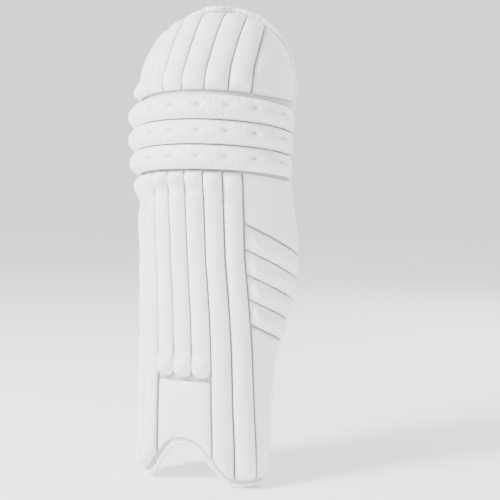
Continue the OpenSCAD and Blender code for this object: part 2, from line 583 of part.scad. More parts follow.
// The calf strap spreads into a yoke at the plain edge, with a blank label sewn on it
yoke_len = 62;
yoke_rise = 23; // how far each arm of the yoke rises past the band
yoke_t = 1.6;
module yoke_outline() {
    half = wide_band_w / 2;
    polygon([[0, -half - yoke_rise], [14, -half - yoke_rise], [yoke_len, -half + 2],
        [yoke_len, half - 2], [14, half + yoke_rise], [0, half + yoke_rise]]);
}
module calf_yoke() color("white") at_strap(CALF) translate([turn_r, -gap, 0]) {
    rotate([90, 0, 0]) linear_extrude(height = yoke_t) yoke_outline();
    // the lips that turn forward with the band
    lip = edge_room[CALF] + sewn_len - gap;
    for (m = [0, 1]) mirror([0, 0, m]) translate([-turn_r - webbing_t, -lip, wide_band_w / 2 + gap])
        difference() {
            cube([turn_r + webbing_t + yoke_t, lip, yoke_rise - gap]);
            translate([yoke_t, -1, -1]) cube([turn_r + webbing_t + 1, lip + 1 - yoke_t, yoke_rise + 2]);
        }
}
label_w = 36;
module calf_label() color("whitesmoke") at_strap(CALF)
    translate([14, webbing_t + gap + 1.2, -label_w / 2]) rotate([90, 0, 0])
        linear_extrude(height = 1.2) square([label_w, label_w]);

moulded_face();
instep_panel();
plain_side_panel();
wing_upper_panel();
wing_lower_panel();
edge_binding();
top_hat_face();
top_hat_side_panel();
top_hat_liner();
top_hat_binding();
shin_canes();
shin_pad();
wing_side_bolster();
plain_side_bolster();
knee_cushion_centre();
knee_cushion_wing_side();
knee_cushion_plain_side();
wing_lining();
ankle_lining_centre();
ankle_lining_wing_side();
ankle_lining_plain_side();
calf_yoke();
calf_label();
ankle_pull_tab();
for (i = [1:SHIN_ROLLS]) shin_roll(i);
for (i = [1:HAT_ROLLS]) top_hat_roll(i);
for (i = [1:KNEE_ROLLS]) knee_roll(i);
for (i = [1:QUILTS]) wing_quilt(i);
knee_band();
knee_tail();
knee_anchor();
knee_buckle();
knee_hook_tape();
calf_band();
calf_tail();
calf_anchor();
calf_buckle();
calf_hook_tape();
ankle_band();
ankle_tail();
ankle_anchor();
ankle_buckle();
ankle_hook_tape();
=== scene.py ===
"""A cricket leg pad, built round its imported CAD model.

Sizes are in millimetres, and become metres where a vertex is placed.
s is the arc length round the pad from the middle of its face, and z is the height.
"""
import math

import bmesh
import bpy
import numpy as np
from mathutils import Matrix, Vector


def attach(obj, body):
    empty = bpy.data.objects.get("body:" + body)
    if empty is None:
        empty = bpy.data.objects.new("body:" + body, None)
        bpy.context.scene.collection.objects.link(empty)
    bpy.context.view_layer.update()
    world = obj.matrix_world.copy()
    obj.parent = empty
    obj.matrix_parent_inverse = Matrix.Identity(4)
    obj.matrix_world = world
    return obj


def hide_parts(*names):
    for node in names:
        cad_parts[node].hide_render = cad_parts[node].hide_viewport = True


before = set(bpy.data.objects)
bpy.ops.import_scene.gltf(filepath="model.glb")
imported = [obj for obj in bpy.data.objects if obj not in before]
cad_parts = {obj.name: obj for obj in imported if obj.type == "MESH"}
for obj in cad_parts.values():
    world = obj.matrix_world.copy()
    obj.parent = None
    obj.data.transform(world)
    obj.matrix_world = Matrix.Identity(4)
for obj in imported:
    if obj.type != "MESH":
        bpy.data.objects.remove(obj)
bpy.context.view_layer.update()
MM = 0.001
MID_Y = 3.5  # the middle of the pad's depth, in the outline's own measure

# ---- The outline: height, then distance ----
FRONT = [(0, -40), (40, -43), (110, -42), (155, -39), (200, -36), (250, -36.5), (300, -40), (365, -45), (440, -51),
         (477, -56), (512, -56), (551, -54), (593, -43), (634, -15), (669, 14), (686, 32), (696, 42)]
WING_BACK = [(0, 3), (60, 10), (110, 15), (155, 22), (196, 32), (234, 48), (261, 58), (294, 68), (330, 72), (365, 69),
             (400, 61), (440, 49), (477, 50), (512, 55), (551, 60), (593, 68), (634, 72), (669, 65), (686, 52), (696, 46)]
PLAIN_BACK = [(0, 3), (60, 9), (155, 17), (234, 25), (330, 36), (400, 42), (440, 45), (477, 50), (512, 55), (551, 60),
              (593, 68), (634, 72), (669, 65), (686, 52), (696, 46)]
WING_HALF = [(0, 95), (60, 98), (155, 97), (196, 102), (234, 110), (294, 119), (330, 121), (365, 120), (400, 117),
             (440, 115), (512, 116), (696, 116)]
PLAIN_HALF = [(0, 98), (60, 102), (155, 100), (234, 103), (330, 106), (400, 108), (440, 110), (512, 116), (696, 116)]
DOME_START, DOME_POWER, HAT_TOP = 562, 2.3, 686.6
FACE_T, HAT_T = 8, 6
FLEX_TAN = math.tan(math.radians(5.5))  # room for the top hat's flex
SEAM, TILT, KNEE_ROLL_W = 560, 0.156, 34.2
KNEE_LOW = SEAM - 3 * KNEE_ROLL_W
INSTEP = 155
FOOT_LIFT, FOOT_R = 9.6, 20
ARCH_H, ARCH_HALF = 58, 78


def line(z, points, soften=10):
    """A blended reading of an outline at height z."""
    xs, ys = zip(*points)
    reads = [w * np.interp(z + d * soften, xs, ys) for d, w in ((-1.5, 1), (-1, 2), (-0.5, 3), (0, 4), (0.5, 3), (1, 2), (1.5, 1))]
    return sum(reads) / 16


def section(s, z):
    """Half width, middle and depth of the half ellipse at height z, on the side that s is on."""
    t = np.clip((z - DOME_START) / (HAT_TOP + 1 - DOME_START), 0, 1)
    closing = (1 - t ** DOME_POWER) ** (1 / DOME_POWER)
    plain = s < 0
    half = closing * np.where(plain, line(z, PLAIN_HALF), line(z, WING_HALF))
    back = np.where(plain, line(z, PLAIN_BACK), line(z, WING_BACK))
    return np.maximum(half, 0.5), back, np.maximum(back - line(z, FRONT), 0.5)


ANGLES = np.linspace(0, math.pi / 2, 49)


def arc(a, b):
    """Arc lengths of the half ellipse at each of ANGLES."""
    x, y = a[..., None] * np.sin(ANGLES), b[..., None] * np.cos(ANGLES)
    steps = np.hypot(np.diff(x), np.diff(y))
    return np.concatenate([np.zeros(steps.shape[:-1] + (1,)), np.cumsum(steps, -1)], -1)


def edge(side, z):
    """Arc length of the pad's back edge at height z."""
    a, _, b = section(np.full_like(np.asarray(z, float), side), np.asarray(z, float))
    return arc(a, b)[..., -1]


def skin(s, z):
    """The point on the face's outer skin."""
    s, z = np.broadcast_arrays(np.asarray(s, float), np.asarray(z, float))
    a, back, b = section(s, z)
    table = arc(a, b)
    reach = np.minimum(np.abs(s), table[..., -1])
    k = np.clip((table <= reach[..., None]).sum(-1) - 1, 0, len(ANGLES) - 2)
    low = np.take_along_axis(table, k[..., None], -1)[..., 0]
    high = np.take_along_axis(table, k[..., None] + 1, -1)[..., 0]
    t = ANGLES[k] + (reach - low) / np.maximum(high - low, 1e-9) * (ANGLES[1] - ANGLES[0])
    beyond = np.maximum(0, np.abs(s) - table[..., -1])
    return np.stack([np.sign(s) * a * np.sin(t), back - b * np.cos(t) + beyond - MID_Y, z], -1)


def outward(s, z):
    """The skin's outward direction."""
    n = np.cross(skin(s + 1.5, z) - skin(s - 1.5, z), skin(s, z + 1.5) - skin(s, z - 1.5))
    return n / np.linalg.norm(n, axis=-1, keepdims=True)


def on_pad(s, z, d=0.0):
    """A point at distance d out from the skin, in metres."""
    s, z, d = np.broadcast_arrays(np.asarray(s, float), np.asarray(z, float), np.asarray(d, float))
    return (skin(s, z) + d[..., None] * outward(s, z)) * MM


def mix(a, b, t):
    return a + (b - a) * t


def smooth(t):
    t = np.clip(t, 0, 1)
    return t * t * (3 - 2 * t)


def fallen(s, z):
    """A level that falls towards the back, as the knee rolls do."""
    return z - TILT * (skin(s, z)[..., 1] + MID_Y - line(z, FRONT))


def roll_w(z):
    return np.interp(z, (60, 330), (30.6, 26.9))


def roll_mid(z):
    return np.interp(z, (60, 330), (-14, -18))


FOOT_OUTER_W = (float(edge(-1, 60.0)) - 8 - 14 - 1.5 * 30.6) / 2


def roll_s(k, z):
    """Arc length of the shin rolls' boundary k, counted from the middle roll's centre line."""
    outer = np.interp(z, (60, 330), (FOOT_OUTER_W, 26.9))
    return roll_mid(z) + np.maximum(k, -1.5) * roll_w(z) + np.minimum(0, k + 1.5) * outer


FOOT_END = {-1: float(edge(-1, FOOT_LIFT + FOOT_R)), 1: float(edge(1, FOOT_LIFT + FOOT_R))}


def bottom(s):
    """Height of the lower edge: two feet with an arch between them."""
    s = np.asarray(s, float)
    along = np.abs(s + 14) / ARCH_HALF
    rise = ARCH_H * (1 + np.cos(math.pi * np.minimum(1, along) ** 1.3)) / 2
    ends = np.where(s < 0, FOOT_END[-1], FOOT_END[1]) - FOOT_R
    over = np.clip(np.abs(s) - ends, 0, FOOT_R)
    return FOOT_LIFT + np.where(along < 1, rise, FOOT_R - np.sqrt(FOOT_R ** 2 - over ** 2))


def shin_top(s):
    return fallen(s, KNEE_LOW) - 1


# ---- Materials ----
def linear(code):
    """An sRGB hex value as a linear colour."""
    parts = [int(code[i:i + 2], 16) / 255 for i in (1, 3, 5)]
    return [c / 12.92 if c <= 0.04045 else ((c + 0.055) / 1.055) ** 2.4 for c in parts] + [1]


def node(tree, kind, links=None, **settings):
    """Adds a node with its settings, and links its inputs from other nodes' sockets."""
    made = tree.nodes.new(kind)
    for key, value in settings.items():
        if key.startswith("in_"):
            name = key[3:]
            made.inputs[int(name) if name.isdigit() else name.replace("_", " ")].default_value = value
        else:
            setattr(made, key, value)
    for name, socket in (links or {}).items():
        tree.links.new(socket, made.inputs[name])
    return made


def material(name, colour, roughness, **sockets):
    """A material whose shader has these uniform settings."""
    made = bpy.data.materials.new(name)
    made.use_nodes = True
    made.diffuse_color = linear(colour)
    shader = made.node_tree.nodes["Principled BSDF"]
    shader.inputs["Base Color"].default_value = linear(colour)
    shader.inputs["Roughness"].default_value = roughness
    for key, value in sockets.items():
        shader.inputs[key.replace("_", " ")].default_value = value
    return made, made.node_tree, shader


def coated_leather(name, colour, painted_shade_colour, roughness, grain, wrinkle=0.0):
    """Polyurethane-coated split leather, pressed with a fine pebble and stretched over padding.

    The pebble is about 1.1 mm across and low, and the coating is satin. The seam attribute mixes in painted shade, a
    grey for the creases, low rims and undersides of the pads."""
    made, tree, shader = material(name, colour, roughness, IOR=1.5, Coat_Weight=0.08, Coat_Roughness=0.35)
    place = node(tree, "ShaderNodeTexCoord").outputs["Object"]
    pebble = node(tree, "ShaderNodeTexVoronoi", {"Vector": place}, in_Scale=900, feature="SMOOTH_F1", in_Smoothness=0.6)
    cloud = node(tree, "ShaderNodeTexNoise", {"Vector": place}, in_Scale=28, in_Detail=4)  # patches about 35 mm across
    fold = node(tree, "ShaderNodeTexNoise", {"Vector": place}, in_Scale=160, in_Detail=5, in_Distortion=1.2)  # 6 mm
    # painted shade: the seam attribute darkens the leather towards its shade colour where the pad is low, in creases
    # and tuft dimples, and on its underside
    seam = node(tree, "ShaderNodeAttribute", attribute_name="seam")
    tone = node(tree, "ShaderNodeMixRGB", {"Fac": seam.outputs["Fac"]}, in_Color1=linear(colour), in_Color2=linear(painted_shade_colour))
    cast = node(tree, "ShaderNodeMapRange", {"Value": cloud.outputs["Fac"]}, in_To_Min=0.975, in_To_Max=1.0)
    shade = node(tree, "ShaderNodeMixRGB", {"Color1": tone.outputs[0], "Color2": cast.outputs[0]},
                 blend_type="MULTIPLY", in_Fac=1.0)
    tree.links.new(shade.outputs[0], shader.inputs["Base Color"])
    gloss = node(tree, "ShaderNodeMapRange", {"Value": cloud.outputs["Fac"]},
                 in_To_Min=roughness - 0.05, in_To_Max=roughness + 0.07)
    tree.links.new(gloss.outputs[0], shader.inputs["Roughness"])
    low = node(tree, "ShaderNodeBump", {"Height": pebble.outputs["Distance"]}, in_Strength=grain, in_Distance=0.0003,
               invert=True)
    high = node(tree, "ShaderNodeBump", {"Height": fold.outputs["Fac"], "Normal": low.outputs[0]},
                in_Strength=0.12 + wrinkle, in_Distance=0.0009)
    tree.links.new(high.outputs[0], shader.inputs["Normal"])
    return made


def brushed_lining():
    """Brushed nylon lining: a soft short nap that scatters light, over a fine knit about 0.9 mm apart."""
    made, tree, shader = material("brushed_lining", "#F0F0F1", 0.92, Sheen_Weight=0.35, Sheen_Roughness=0.5,
                                  Specular_IOR_Level=0.25)
    place = node(tree, "ShaderNodeTexCoord").outputs["Object"]
    knit = node(tree, "ShaderNodeTexVoronoi", {"Vector": place}, in_Scale=1100, feature="F1")
    nap = node(tree, "ShaderNodeTexNoise", {"Vector": place}, in_Scale=420, in_Detail=6, in_Roughness=0.7)
    patch = node(tree, "ShaderNodeTexNoise", {"Vector": place}, in_Scale=22, in_Detail=3)
    seam = node(tree, "ShaderNodeAttribute", attribute_name="seam")
    # painted shade: the seam attribute greys the lining where the cushion is low, at its rim, and on its underside
    tone = node(tree, "ShaderNodeMixRGB", {"Fac": seam.outputs["Fac"]}, in_Color1=linear("#F0F0F1"), in_Color2=linear("#D2D2D4"))
    cast = node(tree, "ShaderNodeMapRange", {"Value": patch.outputs["Fac"]}, in_To_Min=0.95, in_To_Max=1.0)
    shade = node(tree, "ShaderNodeMixRGB", {"Color1": tone.outputs[0], "Color2": cast.outputs[0]},
                 blend_type="MULTIPLY", in_Fac=1.0)
    tree.links.new(shade.outputs[0], shader.inputs["Base Color"])
    fine = node(tree, "ShaderNodeBump", {"Height": knit.outputs["Distance"]}, in_Strength=0.35, in_Distance=0.0003)
    soft = node(tree, "ShaderNodeBump", {"Height": nap.outputs["Fac"], "Normal": fine.outputs[0]}, in_Strength=0.35,
                in_Distance=0.0006)
    tree.links.new(soft.outputs[0], shader.inputs["Normal"])
    return made


def twill_webbing():
    """Woven polypropylene webbing. The twill's ribs are drawn 2 mm apart, a little coarser than real, so that they show.

    The UV map is in metres: U runs along the strap and V across it."""
    made, tree, shader = material("twill_webbing", "#ECECEC", 0.72, Sheen_Weight=0.12, Sheen_Roughness=0.4,
                                  Specular_IOR_Level=0.35)
    uv = node(tree, "ShaderNodeUVMap").outputs[0]
    split = node(tree, "ShaderNodeSeparateXYZ", {"Vector": uv})
    # herringbone: the ribs turn back every 12 mm across the strap
    zig = node(tree, "ShaderNodeMath", {0: split.outputs["Y"]}, operation="PINGPONG", in_1=0.006)
    run = node(tree, "ShaderNodeMath", {0: split.outputs["X"], 1: zig.outputs[0]}, operation="ADD")
    beat = node(tree, "ShaderNodeMath", {0: run.outputs[0]}, operation="MULTIPLY", in_1=2 * math.pi / 0.002)
    rib = node(tree, "ShaderNodeMath", {0: beat.outputs[0]}, operation="SINE")
    warp = node(tree, "ShaderNodeMath", {0: split.outputs["Y"]}, operation="MULTIPLY", in_1=2 * math.pi / 0.0011)
    thread = node(tree, "ShaderNodeMath", {0: warp.outputs[0]}, operation="SINE")
    height = node(tree, "ShaderNodeMath", {0: thread.outputs[0], 2: rib.outputs[0]}, operation="MULTIPLY_ADD", in_1=0.35)
    # painted shade: darker in the low parts of the weave, between the ribs
    groove_shade = node(tree, "ShaderNodeMapRange", {"Value": height.outputs[0]}, in_From_Min=-1.3, in_From_Max=1.3,
                 in_To_Min=0.86, in_To_Max=1.0)
    shade = node(tree, "ShaderNodeMixRGB", {"Color2": groove_shade.outputs[0]}, blend_type="MULTIPLY", in_Fac=1.0,
                 in_Color1=linear("#F0F0F0"))
    tree.links.new(shade.outputs[0], shader.inputs["Base Color"])
    bump = node(tree, "ShaderNodeBump", {"Height": height.outputs[0]}, in_Strength=0.55, in_Distance=0.0003)
    tree.links.new(bump.outputs[0], shader.inputs["Normal"])
    return made


def rough_tape(name, colour, spacing, strength):
    """Hook or loop tape: a dense field of nylon hooks or loops, one every `spacing` millimetres."""
    made, tree, shader = material(name, colour, 0.85, Sheen_Weight=0.2)
    place = node(tree, "ShaderNodeTexCoord").outputs["Object"]
    field = node(tree, "ShaderNodeTexVoronoi", {"Vector": place}, in_Scale=1000 / spacing, in_Randomness=0.35)
    # painted shade: darker in the hollows between the hooks or loops; the same field also makes the bump
    tuft = node(tree, "ShaderNodeMapRange", {"Value": field.outputs["Distance"]}, in_From_Max=0.6, in_To_Min=1.0, in_To_Max=0.72)
    shade = node(tree, "ShaderNodeMixRGB", {"Color2": tuft.outputs[0]}, blend_type="MULTIPLY", in_Fac=1.0,
                 in_Color1=linear(colour))
    tree.links.new(shade.outputs[0], shader.inputs["Base Color"])
    bump = node(tree, "ShaderNodeBump", {"Height": tuft.outputs[0]}, in_Strength=strength, in_Distance=0.0008)
    tree.links.new(bump.outputs[0], shader.inputs["Normal"])
    return made


def moulded(name, colour, roughness, grit):
    """Injection-moulded nylon or rubber: an even satin skin with a faint spark-eroded grit of about 0.5 mm."""
    made, tree, shader = material(name, colour, roughness, IOR=1.53)
    place = node(tree, "ShaderNodeTexCoord").outputs["Object"]
    grain = node(tree, "ShaderNodeTexNoise", {"Vector": place}, in_Scale=2000, in_Detail=2)
    patch = node(tree, "ShaderNodeTexNoise", {"Vector": place}, in_Scale=60, in_Detail=2)
    gloss = node(tree, "ShaderNodeMapRange", {"Value": patch.outputs["Fac"]}, in_To_Min=roughness - 0.06, in_To_Max=roughness + 0.06)
    tree.links.new(gloss.outputs[0], shader.inputs["Roughness"])
    bump = node(tree, "ShaderNodeBump", {"Height": grain.outputs["Fac"]}, in_Strength=grit, in_Distance=0.0002)
    tree.links.new(bump.outputs[0], shader.inputs["Normal"])
    return made


def split_cane():
    """Natural cane: straw-coloured, with grain lines that run along it, about 0.4 mm apart."""
    made, tree, shader = material("split_cane", "#C9A668", 0.5)
    place = node(tree, "ShaderNodeTexCoord").outputs["Object"]
    along = node(tree, "ShaderNodeMapping", {"Vector": place}, in_Scale=(1, 1, 0.03))
    grain = node(tree, "ShaderNodeTexNoise", {"Vector": along.outputs[0]}, in_Scale=2500, in_Detail=3)
    tone = node(tree, "ShaderNodeMixRGB", {"Fac": grain.outputs["Fac"]}, in_Color1=linear("#A9824A"), in_Color2=linear("#DDBE86"))
    tree.links.new(tone.outputs[0], shader.inputs["Base Color"])
    return made


def sewing_thread():
    """Bonded nylon thread, 0.8 mm thick: a dull grey-white twist that catches dirt."""
    made, tree, shader = material("sewing_thread", "#B4B4B6", 0.7)
    place = node(tree, "ShaderNodeTexCoord").outputs["Object"]
    ply = node(tree, "ShaderNodeTexNoise", {"Vector": place}, in_Scale=900, in_Detail=2)
    tone = node(tree, "ShaderNodeMixRGB", {"Fac": ply.outputs["Fac"]}, in_Color1=linear("#6E6E72"), in_Color2=linear("#A4A4A8"))
    tree.links.new(tone.outputs[0], shader.inputs["Base Color"])
    return made


# The second colour of each leather is its painted shade, laid on by the seam attribute in creases, low rims and
# undersides.
LEATHER = coated_leather("coated_leather", "#F6F6F6", "#9C9DA1", 0.5, 0.3)
HAT_LEATHER = coated_leather("hat_leather", "#F5F5F5", "#A6A7AB", 0.55, 0.4)
BINDING = coated_leather("binding_leather", "#F3F3F3", "#B2B2B6", 0.52, 0.25, wrinkle=0.15)
# The backing is a light grey, darker than the covers: painted shade in the gaps between the rolls where it shows.
CORE = coated_leather("backing_leather", "#D0D0D2", "#B0B0B4", 0.75, 0.2)
LINING = brushed_lining()
WEBBING = twill_webbing()
HOOKS = rough_tape("hook_tape", "#D9D9DA", 1.3, 1.0)
LOOPS = rough_tape("loop_tape", "#ECECEC", 0.8, 0.5)
PLASTIC = moulded("moulded_nylon", "#F2F2F2", 0.36, 0.15)
RUBBER = moulded("moulded_rubber", "#EFEFEF", 0.55, 0.3)
THREAD = sewing_thread()
CANE = split_cane()


# ---- Making pieces ----
def finish_piece(bm, name, finish, body, slot, replaced=(), levels=0, fill=None, smooth_faces=True):
    """Makes a bmesh into a named piece that rides on a body."""
    mesh = bpy.data.meshes.new(name)
    if smooth_faces:
        for face in bm.faces:
            face.smooth = True
    bm.to_mesh(mesh)
    bm.free()
    ob = bpy.data.objects.new(name, mesh)
    bpy.context.scene.collection.objects.link(ob)
    mesh.materials.append(finish)
    if levels:
        sub = ob.modifiers.new("subdivision", "SUBSURF")
        sub.levels = sub.render_levels = levels
    if replaced:
        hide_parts(*replaced)
    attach(ob, body)
    return ob


def pillow(at, crown, nu, nv, base=0.4, spread=(True, False), direction=1, seam=None, under=0.0):
    """A closed pad on the skin. at(u, v) gives (s, z) and crown(u, v) its height; the rim is flat on the base."""
    bm = bmesh.new()
    bmesh.ops.create_grid(bm, x_segments=nu, y_segments=nv, size=0.5)
    bm.verts.ensure_lookup_table()
    raw = np.array([v.co for v in bm.verts]) + 0.5
    u, v = raw[:, 0], raw[:, 1]
    if spread[0]:
        u = (1 - np.cos(np.pi * u)) / 2
    if spread[1]:
        v = (1 - np.cos(np.pi * v)) / 2
    u, v = np.clip(u, 0, 1), np.clip(v, 0, 1)
    s, z = at(u, v)
    high = np.maximum(crown(u, v), 0)
    rim = np.minimum(np.minimum(u, 1 - u), np.minimum(v, 1 - v)) < 1e-6
    high = np.where(rim, 0, high)
    outer = on_pad(s, z, direction * (base + under + high))
    inner = on_pad(s, z, direction * (base + under - np.where(rim, 0, np.minimum(under, 1.0))))
    painted_shade_layer = bm.verts.layers.float.new("seam")
    hold = bm.verts.layers.float.new("hold")
    # painted shade: darker where the crown is low, at the rim and in the creases between pads
    painted_shade = np.clip(seam(u, v), 0, 1) if seam is not None else np.clip(1 - high / max(2.2, high.max() * 0.28), 0, 1)
    top = list(bm.verts)
    copy = bmesh.ops.duplicate(bm, geom=list(bm.faces))
    bmesh.ops.reverse_faces(bm, faces=[g for g in copy["geom"] if isinstance(g, bmesh.types.BMFace)])
    for k, vert in enumerate(top):
        vert.co = outer[k]
        vert[painted_shade_layer] = painted_shade[k]
        vert[hold] = 1.0 if high[k] < 1.0 else 0.0
        twin = copy["vert_map"][vert]
        twin[hold] = 1.0
        twin.co = outer[k] if rim[k] else inner[k]
        # the underside gets full painted shade
        twin[painted_shade_layer] = 1.0
    bmesh.ops.remove_doubles(bm, verts=bm.verts, dist=0.00002)
    bmesh.ops.recalc_face_normals(bm, faces=bm.faces)
    return bm


def capsules(bm, points, ups, length, radius):
    """Adds a stitch at each point, lying along its direction."""
    for (place, along), up in zip(points, ups):
        x = Vector(along).normalized()
        z = Vector(up).normalized()
        y = z.cross(x).normalized()
        z = x.cross(y)
        turn = Matrix((x, y, z)).transposed().to_4x4()
        grow = Matrix.Diagonal((length / 2, radius, radius, 1))
        bmesh.ops.create_icosphere(bm, subdivisions=1, radius=1, matrix=Matrix.Translation(place) @ turn @ grow)


def sewn(path, pitch=4.2, thread=0.45, share=0.62):
    """Stitches along a path on the skin. path is a list of (s, z, d), in millimetres."""
    s, z, d = (np.array(c, float) for c in zip(*path))
    fine = np.linspace(0, 1, 400)
    steps = np.linspace(0, 1, len(s))
    s, z, d = (np.interp(fine, steps, c) for c in (s, z, d))
    at = on_pad(s, z, d)
    run = np.concatenate([[0], np.cumsum(np.linalg.norm(np.diff(at, axis=0), axis=1))])
    count = max(1, int(run[-1] / (pitch * MM)))
    marks = (np.arange(count) + 0.5) / count * run[-1]
    place = np.stack([np.interp(marks, run, at[:, i]) for i in range(3)], -1)
    ahead = np.stack([np.interp(np.minimum(marks + 0.0005, run[-1]), run, at[:, i]) for i in range(3)], -1)
    behind = np.stack([np.interp(np.maximum(marks - 0.0005, 0), run, at[:, i]) for i in range(3)], -1)
    normal = outward(np.interp(marks, run, s), np.interp(marks, run, z))
    return [(p, a - b) for p, a, b in zip(place, ahead, behind)], list(normal), pitch * share * MM, thread * MM


def stitching(name, paths, body, **how):
    """One piece that holds all the stitches of these paths."""
    bm = bmesh.new()
    for path in paths:
        capsules(bm, *sewn(path, **how))
    return finish_piece(bm, name, THREAD, body, "binding")


def camera():
    """Stands 1.5 m off, turned 24 degrees towards the wing side and a little above the middle."""
    azimuth, lift, distance = math.radians(24), math.radians(3.67), 1.5
    target = Vector((0, 0, 0.346))
    back = Vector((math.sin(azimuth) * math.cos(lift), -math.cos(azimuth) * math.cos(lift), math.sin(lift)))
    cam = bpy.data.cameras.new("camera")
    cam.sensor_width = 36
    cam.lens = 36 * distance / (500 * 1.463 * MM)
    ob = bpy.data.objects.new("camera", cam)
    bpy.context.scene.collection.objects.link(ob)
    ob.location = target + back * distance
    ob.rotation_euler = (math.pi / 2 - lift - math.radians(0.27), 0, azimuth - math.radians(2.55))
    bpy.context.scene.camera = ob


def studio():
    """A white sweep, a large key from the left, a fill and a rim."""
    for name, place, size, power in (("key", (-1.5, -1.7, 1.9), 0.6, 190), ("fill", (1.9, -1.2, 0.8), 1.6, 8),
                                     ("rim", (0.6, 1.9, 1.6), 1.4, 45)):
        light = bpy.data.lights.new(name, "AREA")
        light.size = size
        light.energy = power
        ob = bpy.data.objects.new(name, light)
        ob.location = place
        ob.rotation_euler = (Vector((0, 0, 0.35)) - Vector(place)).to_track_quat("-Z", "Y").to_euler()
        bpy.context.scene.collection.objects.link(ob)
    world = bpy.data.worlds.new("studio")
    world.use_nodes = True
    world.node_tree.nodes["Background"].inputs["Color"].default_value = (1, 1, 1, 1)
    world.node_tree.nodes["Background"].inputs["Strength"].default_value = 1.5
    bpy.context.scene.world = world
    bm = bmesh.new()
    bmesh.ops.create_grid(bm, x_segments=1, y_segments=1, size=6)
    mesh = bpy.data.meshes.new("studio_floor")
    bm.to_mesh(mesh)
    bm.free()
    floor = bpy.data.objects.new("studio_floor", mesh)
    bpy.context.scene.collection.objects.link(floor)
    mesh.materials.append(material("white_floor", "#FFFFFF", 0.9)[0])


# ---- Face and rolls ----
def round_end(v, share, power=0.5):
    """Rises from 0 to 1 over this share of the length at both ends."""
    return np.clip(np.minimum(v, 1 - v) / share, 0, 1) ** power


def half_round(u):
    return np.sqrt(np.clip(1 - (2 * u - 1) ** 2, 0, 1))


def pucker(z, pitch, depth, seed=0.0):
    """Small gathers along a sewn edge."""
    return depth * (np.sin(z * 2 * np.pi / pitch + seed + 1.3 * np.sin(z * 0.11 + seed)) * 0.6
                    + np.sin(z * 2 * np.pi / (pitch * 0.57) + 2.1 * seed) * 0.4)


def face():
    """The moulded face and the hat's face: the leather-covered backing that the rolls are sewn to."""
    def shell(name, at, nu, nv, depth, body, node_name):
        bm = bmesh.new()
        bmesh.ops.create_grid(bm, x_segments=nu, y_segments=nv, size=0.5)
        raw = np.array([v.co for v in bm.verts]) + 0.5
        s, z, sunk = at(raw[:, 0], raw[:, 1])
        for vert, p in zip(list(bm.verts), on_pad(s, z, -0.1 - sunk)):
            vert.co = p
        inner = on_pad(s, z, -depth + sunk)
        skin_faces = list(bm.faces)
        verts = list(bm.verts)
        copy = bmesh.ops.duplicate(bm, geom=skin_faces)
        lower = [copy["vert_map"][v] for v in verts]
        for vert, p in zip(lower, inner):
            vert.co = p
        bmesh.ops.reverse_faces(bm, faces=[g for g in copy["geom"] if isinstance(g, bmesh.types.BMFace)])
        rims = [e for e in bm.edges if e.is_boundary]
        bmesh.ops.bridge_loops(bm, edges=rims)
        bmesh.ops.recalc_face_normals(bm, faces=bm.faces)
        finish_piece(bm, name, CORE, body, "white_leather", (node_name,))

    def moulded_at(u, v):
        w = 2 * u - 1
        side = np.where(w < 0, -1, 1)
        s = w * edge(side, np.full_like(w, SEAM))
        hat_y = skin(s, np.full_like(s, SEAM))[..., 1] + MID_Y
        top = fallen(s, np.full_like(s, SEAM)) - 16.5 - FLEX_TAN * (hat_y + 40)
        z = mix(bottom(w * np.where(w < 0, FOOT_END[-1], FOOT_END[1])), top, v)
        return w * edge(side, z), z, 0

    def hat_at(u, v):
        w = 2 * u - 1
        side = np.where(w < 0, -1, 1)
        z_lin = mix(SEAM - 12, HAT_TOP, v)
        fall = TILT * (1 - v) ** 2
        s = w * edge(side, z_lin)
        z = z_lin - fall * (skin(s, z_lin)[..., 1] + MID_Y - line(z_lin, FRONT))
        return w * edge(side, z), z, 1.6 * (1 - np.minimum(1, v * 4.5))

    shell("face_backing", moulded_at, 88, 84, FACE_T, "pad", "moulded_face")
    shell("hat_backing", hat_at, 72, 40, HAT_T, "top_hat", "top_hat_face")


# ---- Soft pieces ----
def plump(ob, pressure=2.0, cap=3.5, slack=0.03, frames=14):
    """Blows a padded piece up a little with its rim held, so that the cover wrinkles where it is sewn."""
    mesh = ob.data
    start = np.empty(len(mesh.vertices) * 3)
    mesh.vertices.foreach_get("co", start)
    held = ob.vertex_groups.new(name="held")
    firm = mesh.attributes["hold"].data
    for k in range(len(mesh.vertices)):
        if firm[k].value > 0.01:
            held.add([k], firm[k].value, "REPLACE")
    cloth = ob.modifiers.new("cloth", "CLOTH")
    setting = cloth.settings
    setting.quality = 4
    setting.mass = 0.25
    setting.tension_stiffness = setting.compression_stiffness = 18
    setting.shear_stiffness = 8
    setting.bending_stiffness = 0.6
    setting.use_pressure = True
    setting.uniform_pressure_force = pressure
    setting.shrink_min = -slack
    setting.vertex_group_mass = "held"
    setting.pin_stiffness = 5
    setting.effector_weights.gravity = 0
    cloth.collision_settings.use_collision = False
    cloth.point_cache.frame_end = frames
    scene = bpy.context.scene
    for step in range(1, frames + 1):
        scene.frame_set(step)
    moved = np.empty_like(start)
    shown = ob.evaluated_get(bpy.context.evaluated_depsgraph_get()).data
    shown.vertices.foreach_get("co", moved)
    ob.modifiers.remove(cloth)
    ob.vertex_groups.remove(held)
    scene.frame_set(1)
    move = (moved - start).reshape(-1, 3)
    far = np.linalg.norm(move, axis=1, keepdims=True)
    most = cap * MM
    move *= np.minimum(1, most / np.maximum(far, 1e-9))
    mesh.vertices.foreach_set("co", (start.reshape(-1, 3) + move).ravel())
    mesh.update()
    return ob


def soft(bm, name, finish, body, slot, replaced, fill, levels=1, **cloth):
    """A padded piece: held at its rim, plumped, then smoothed by one subdivision."""
    ob = finish_piece(bm, name, finish, body, slot, replaced, 0, fill)
    if cloth:
        plump(ob, **cloth)
    if levels:
        sub = ob.modifiers.new("subdivision", "SUBSURF")
        sub.levels = sub.render_levels = levels
    return ob


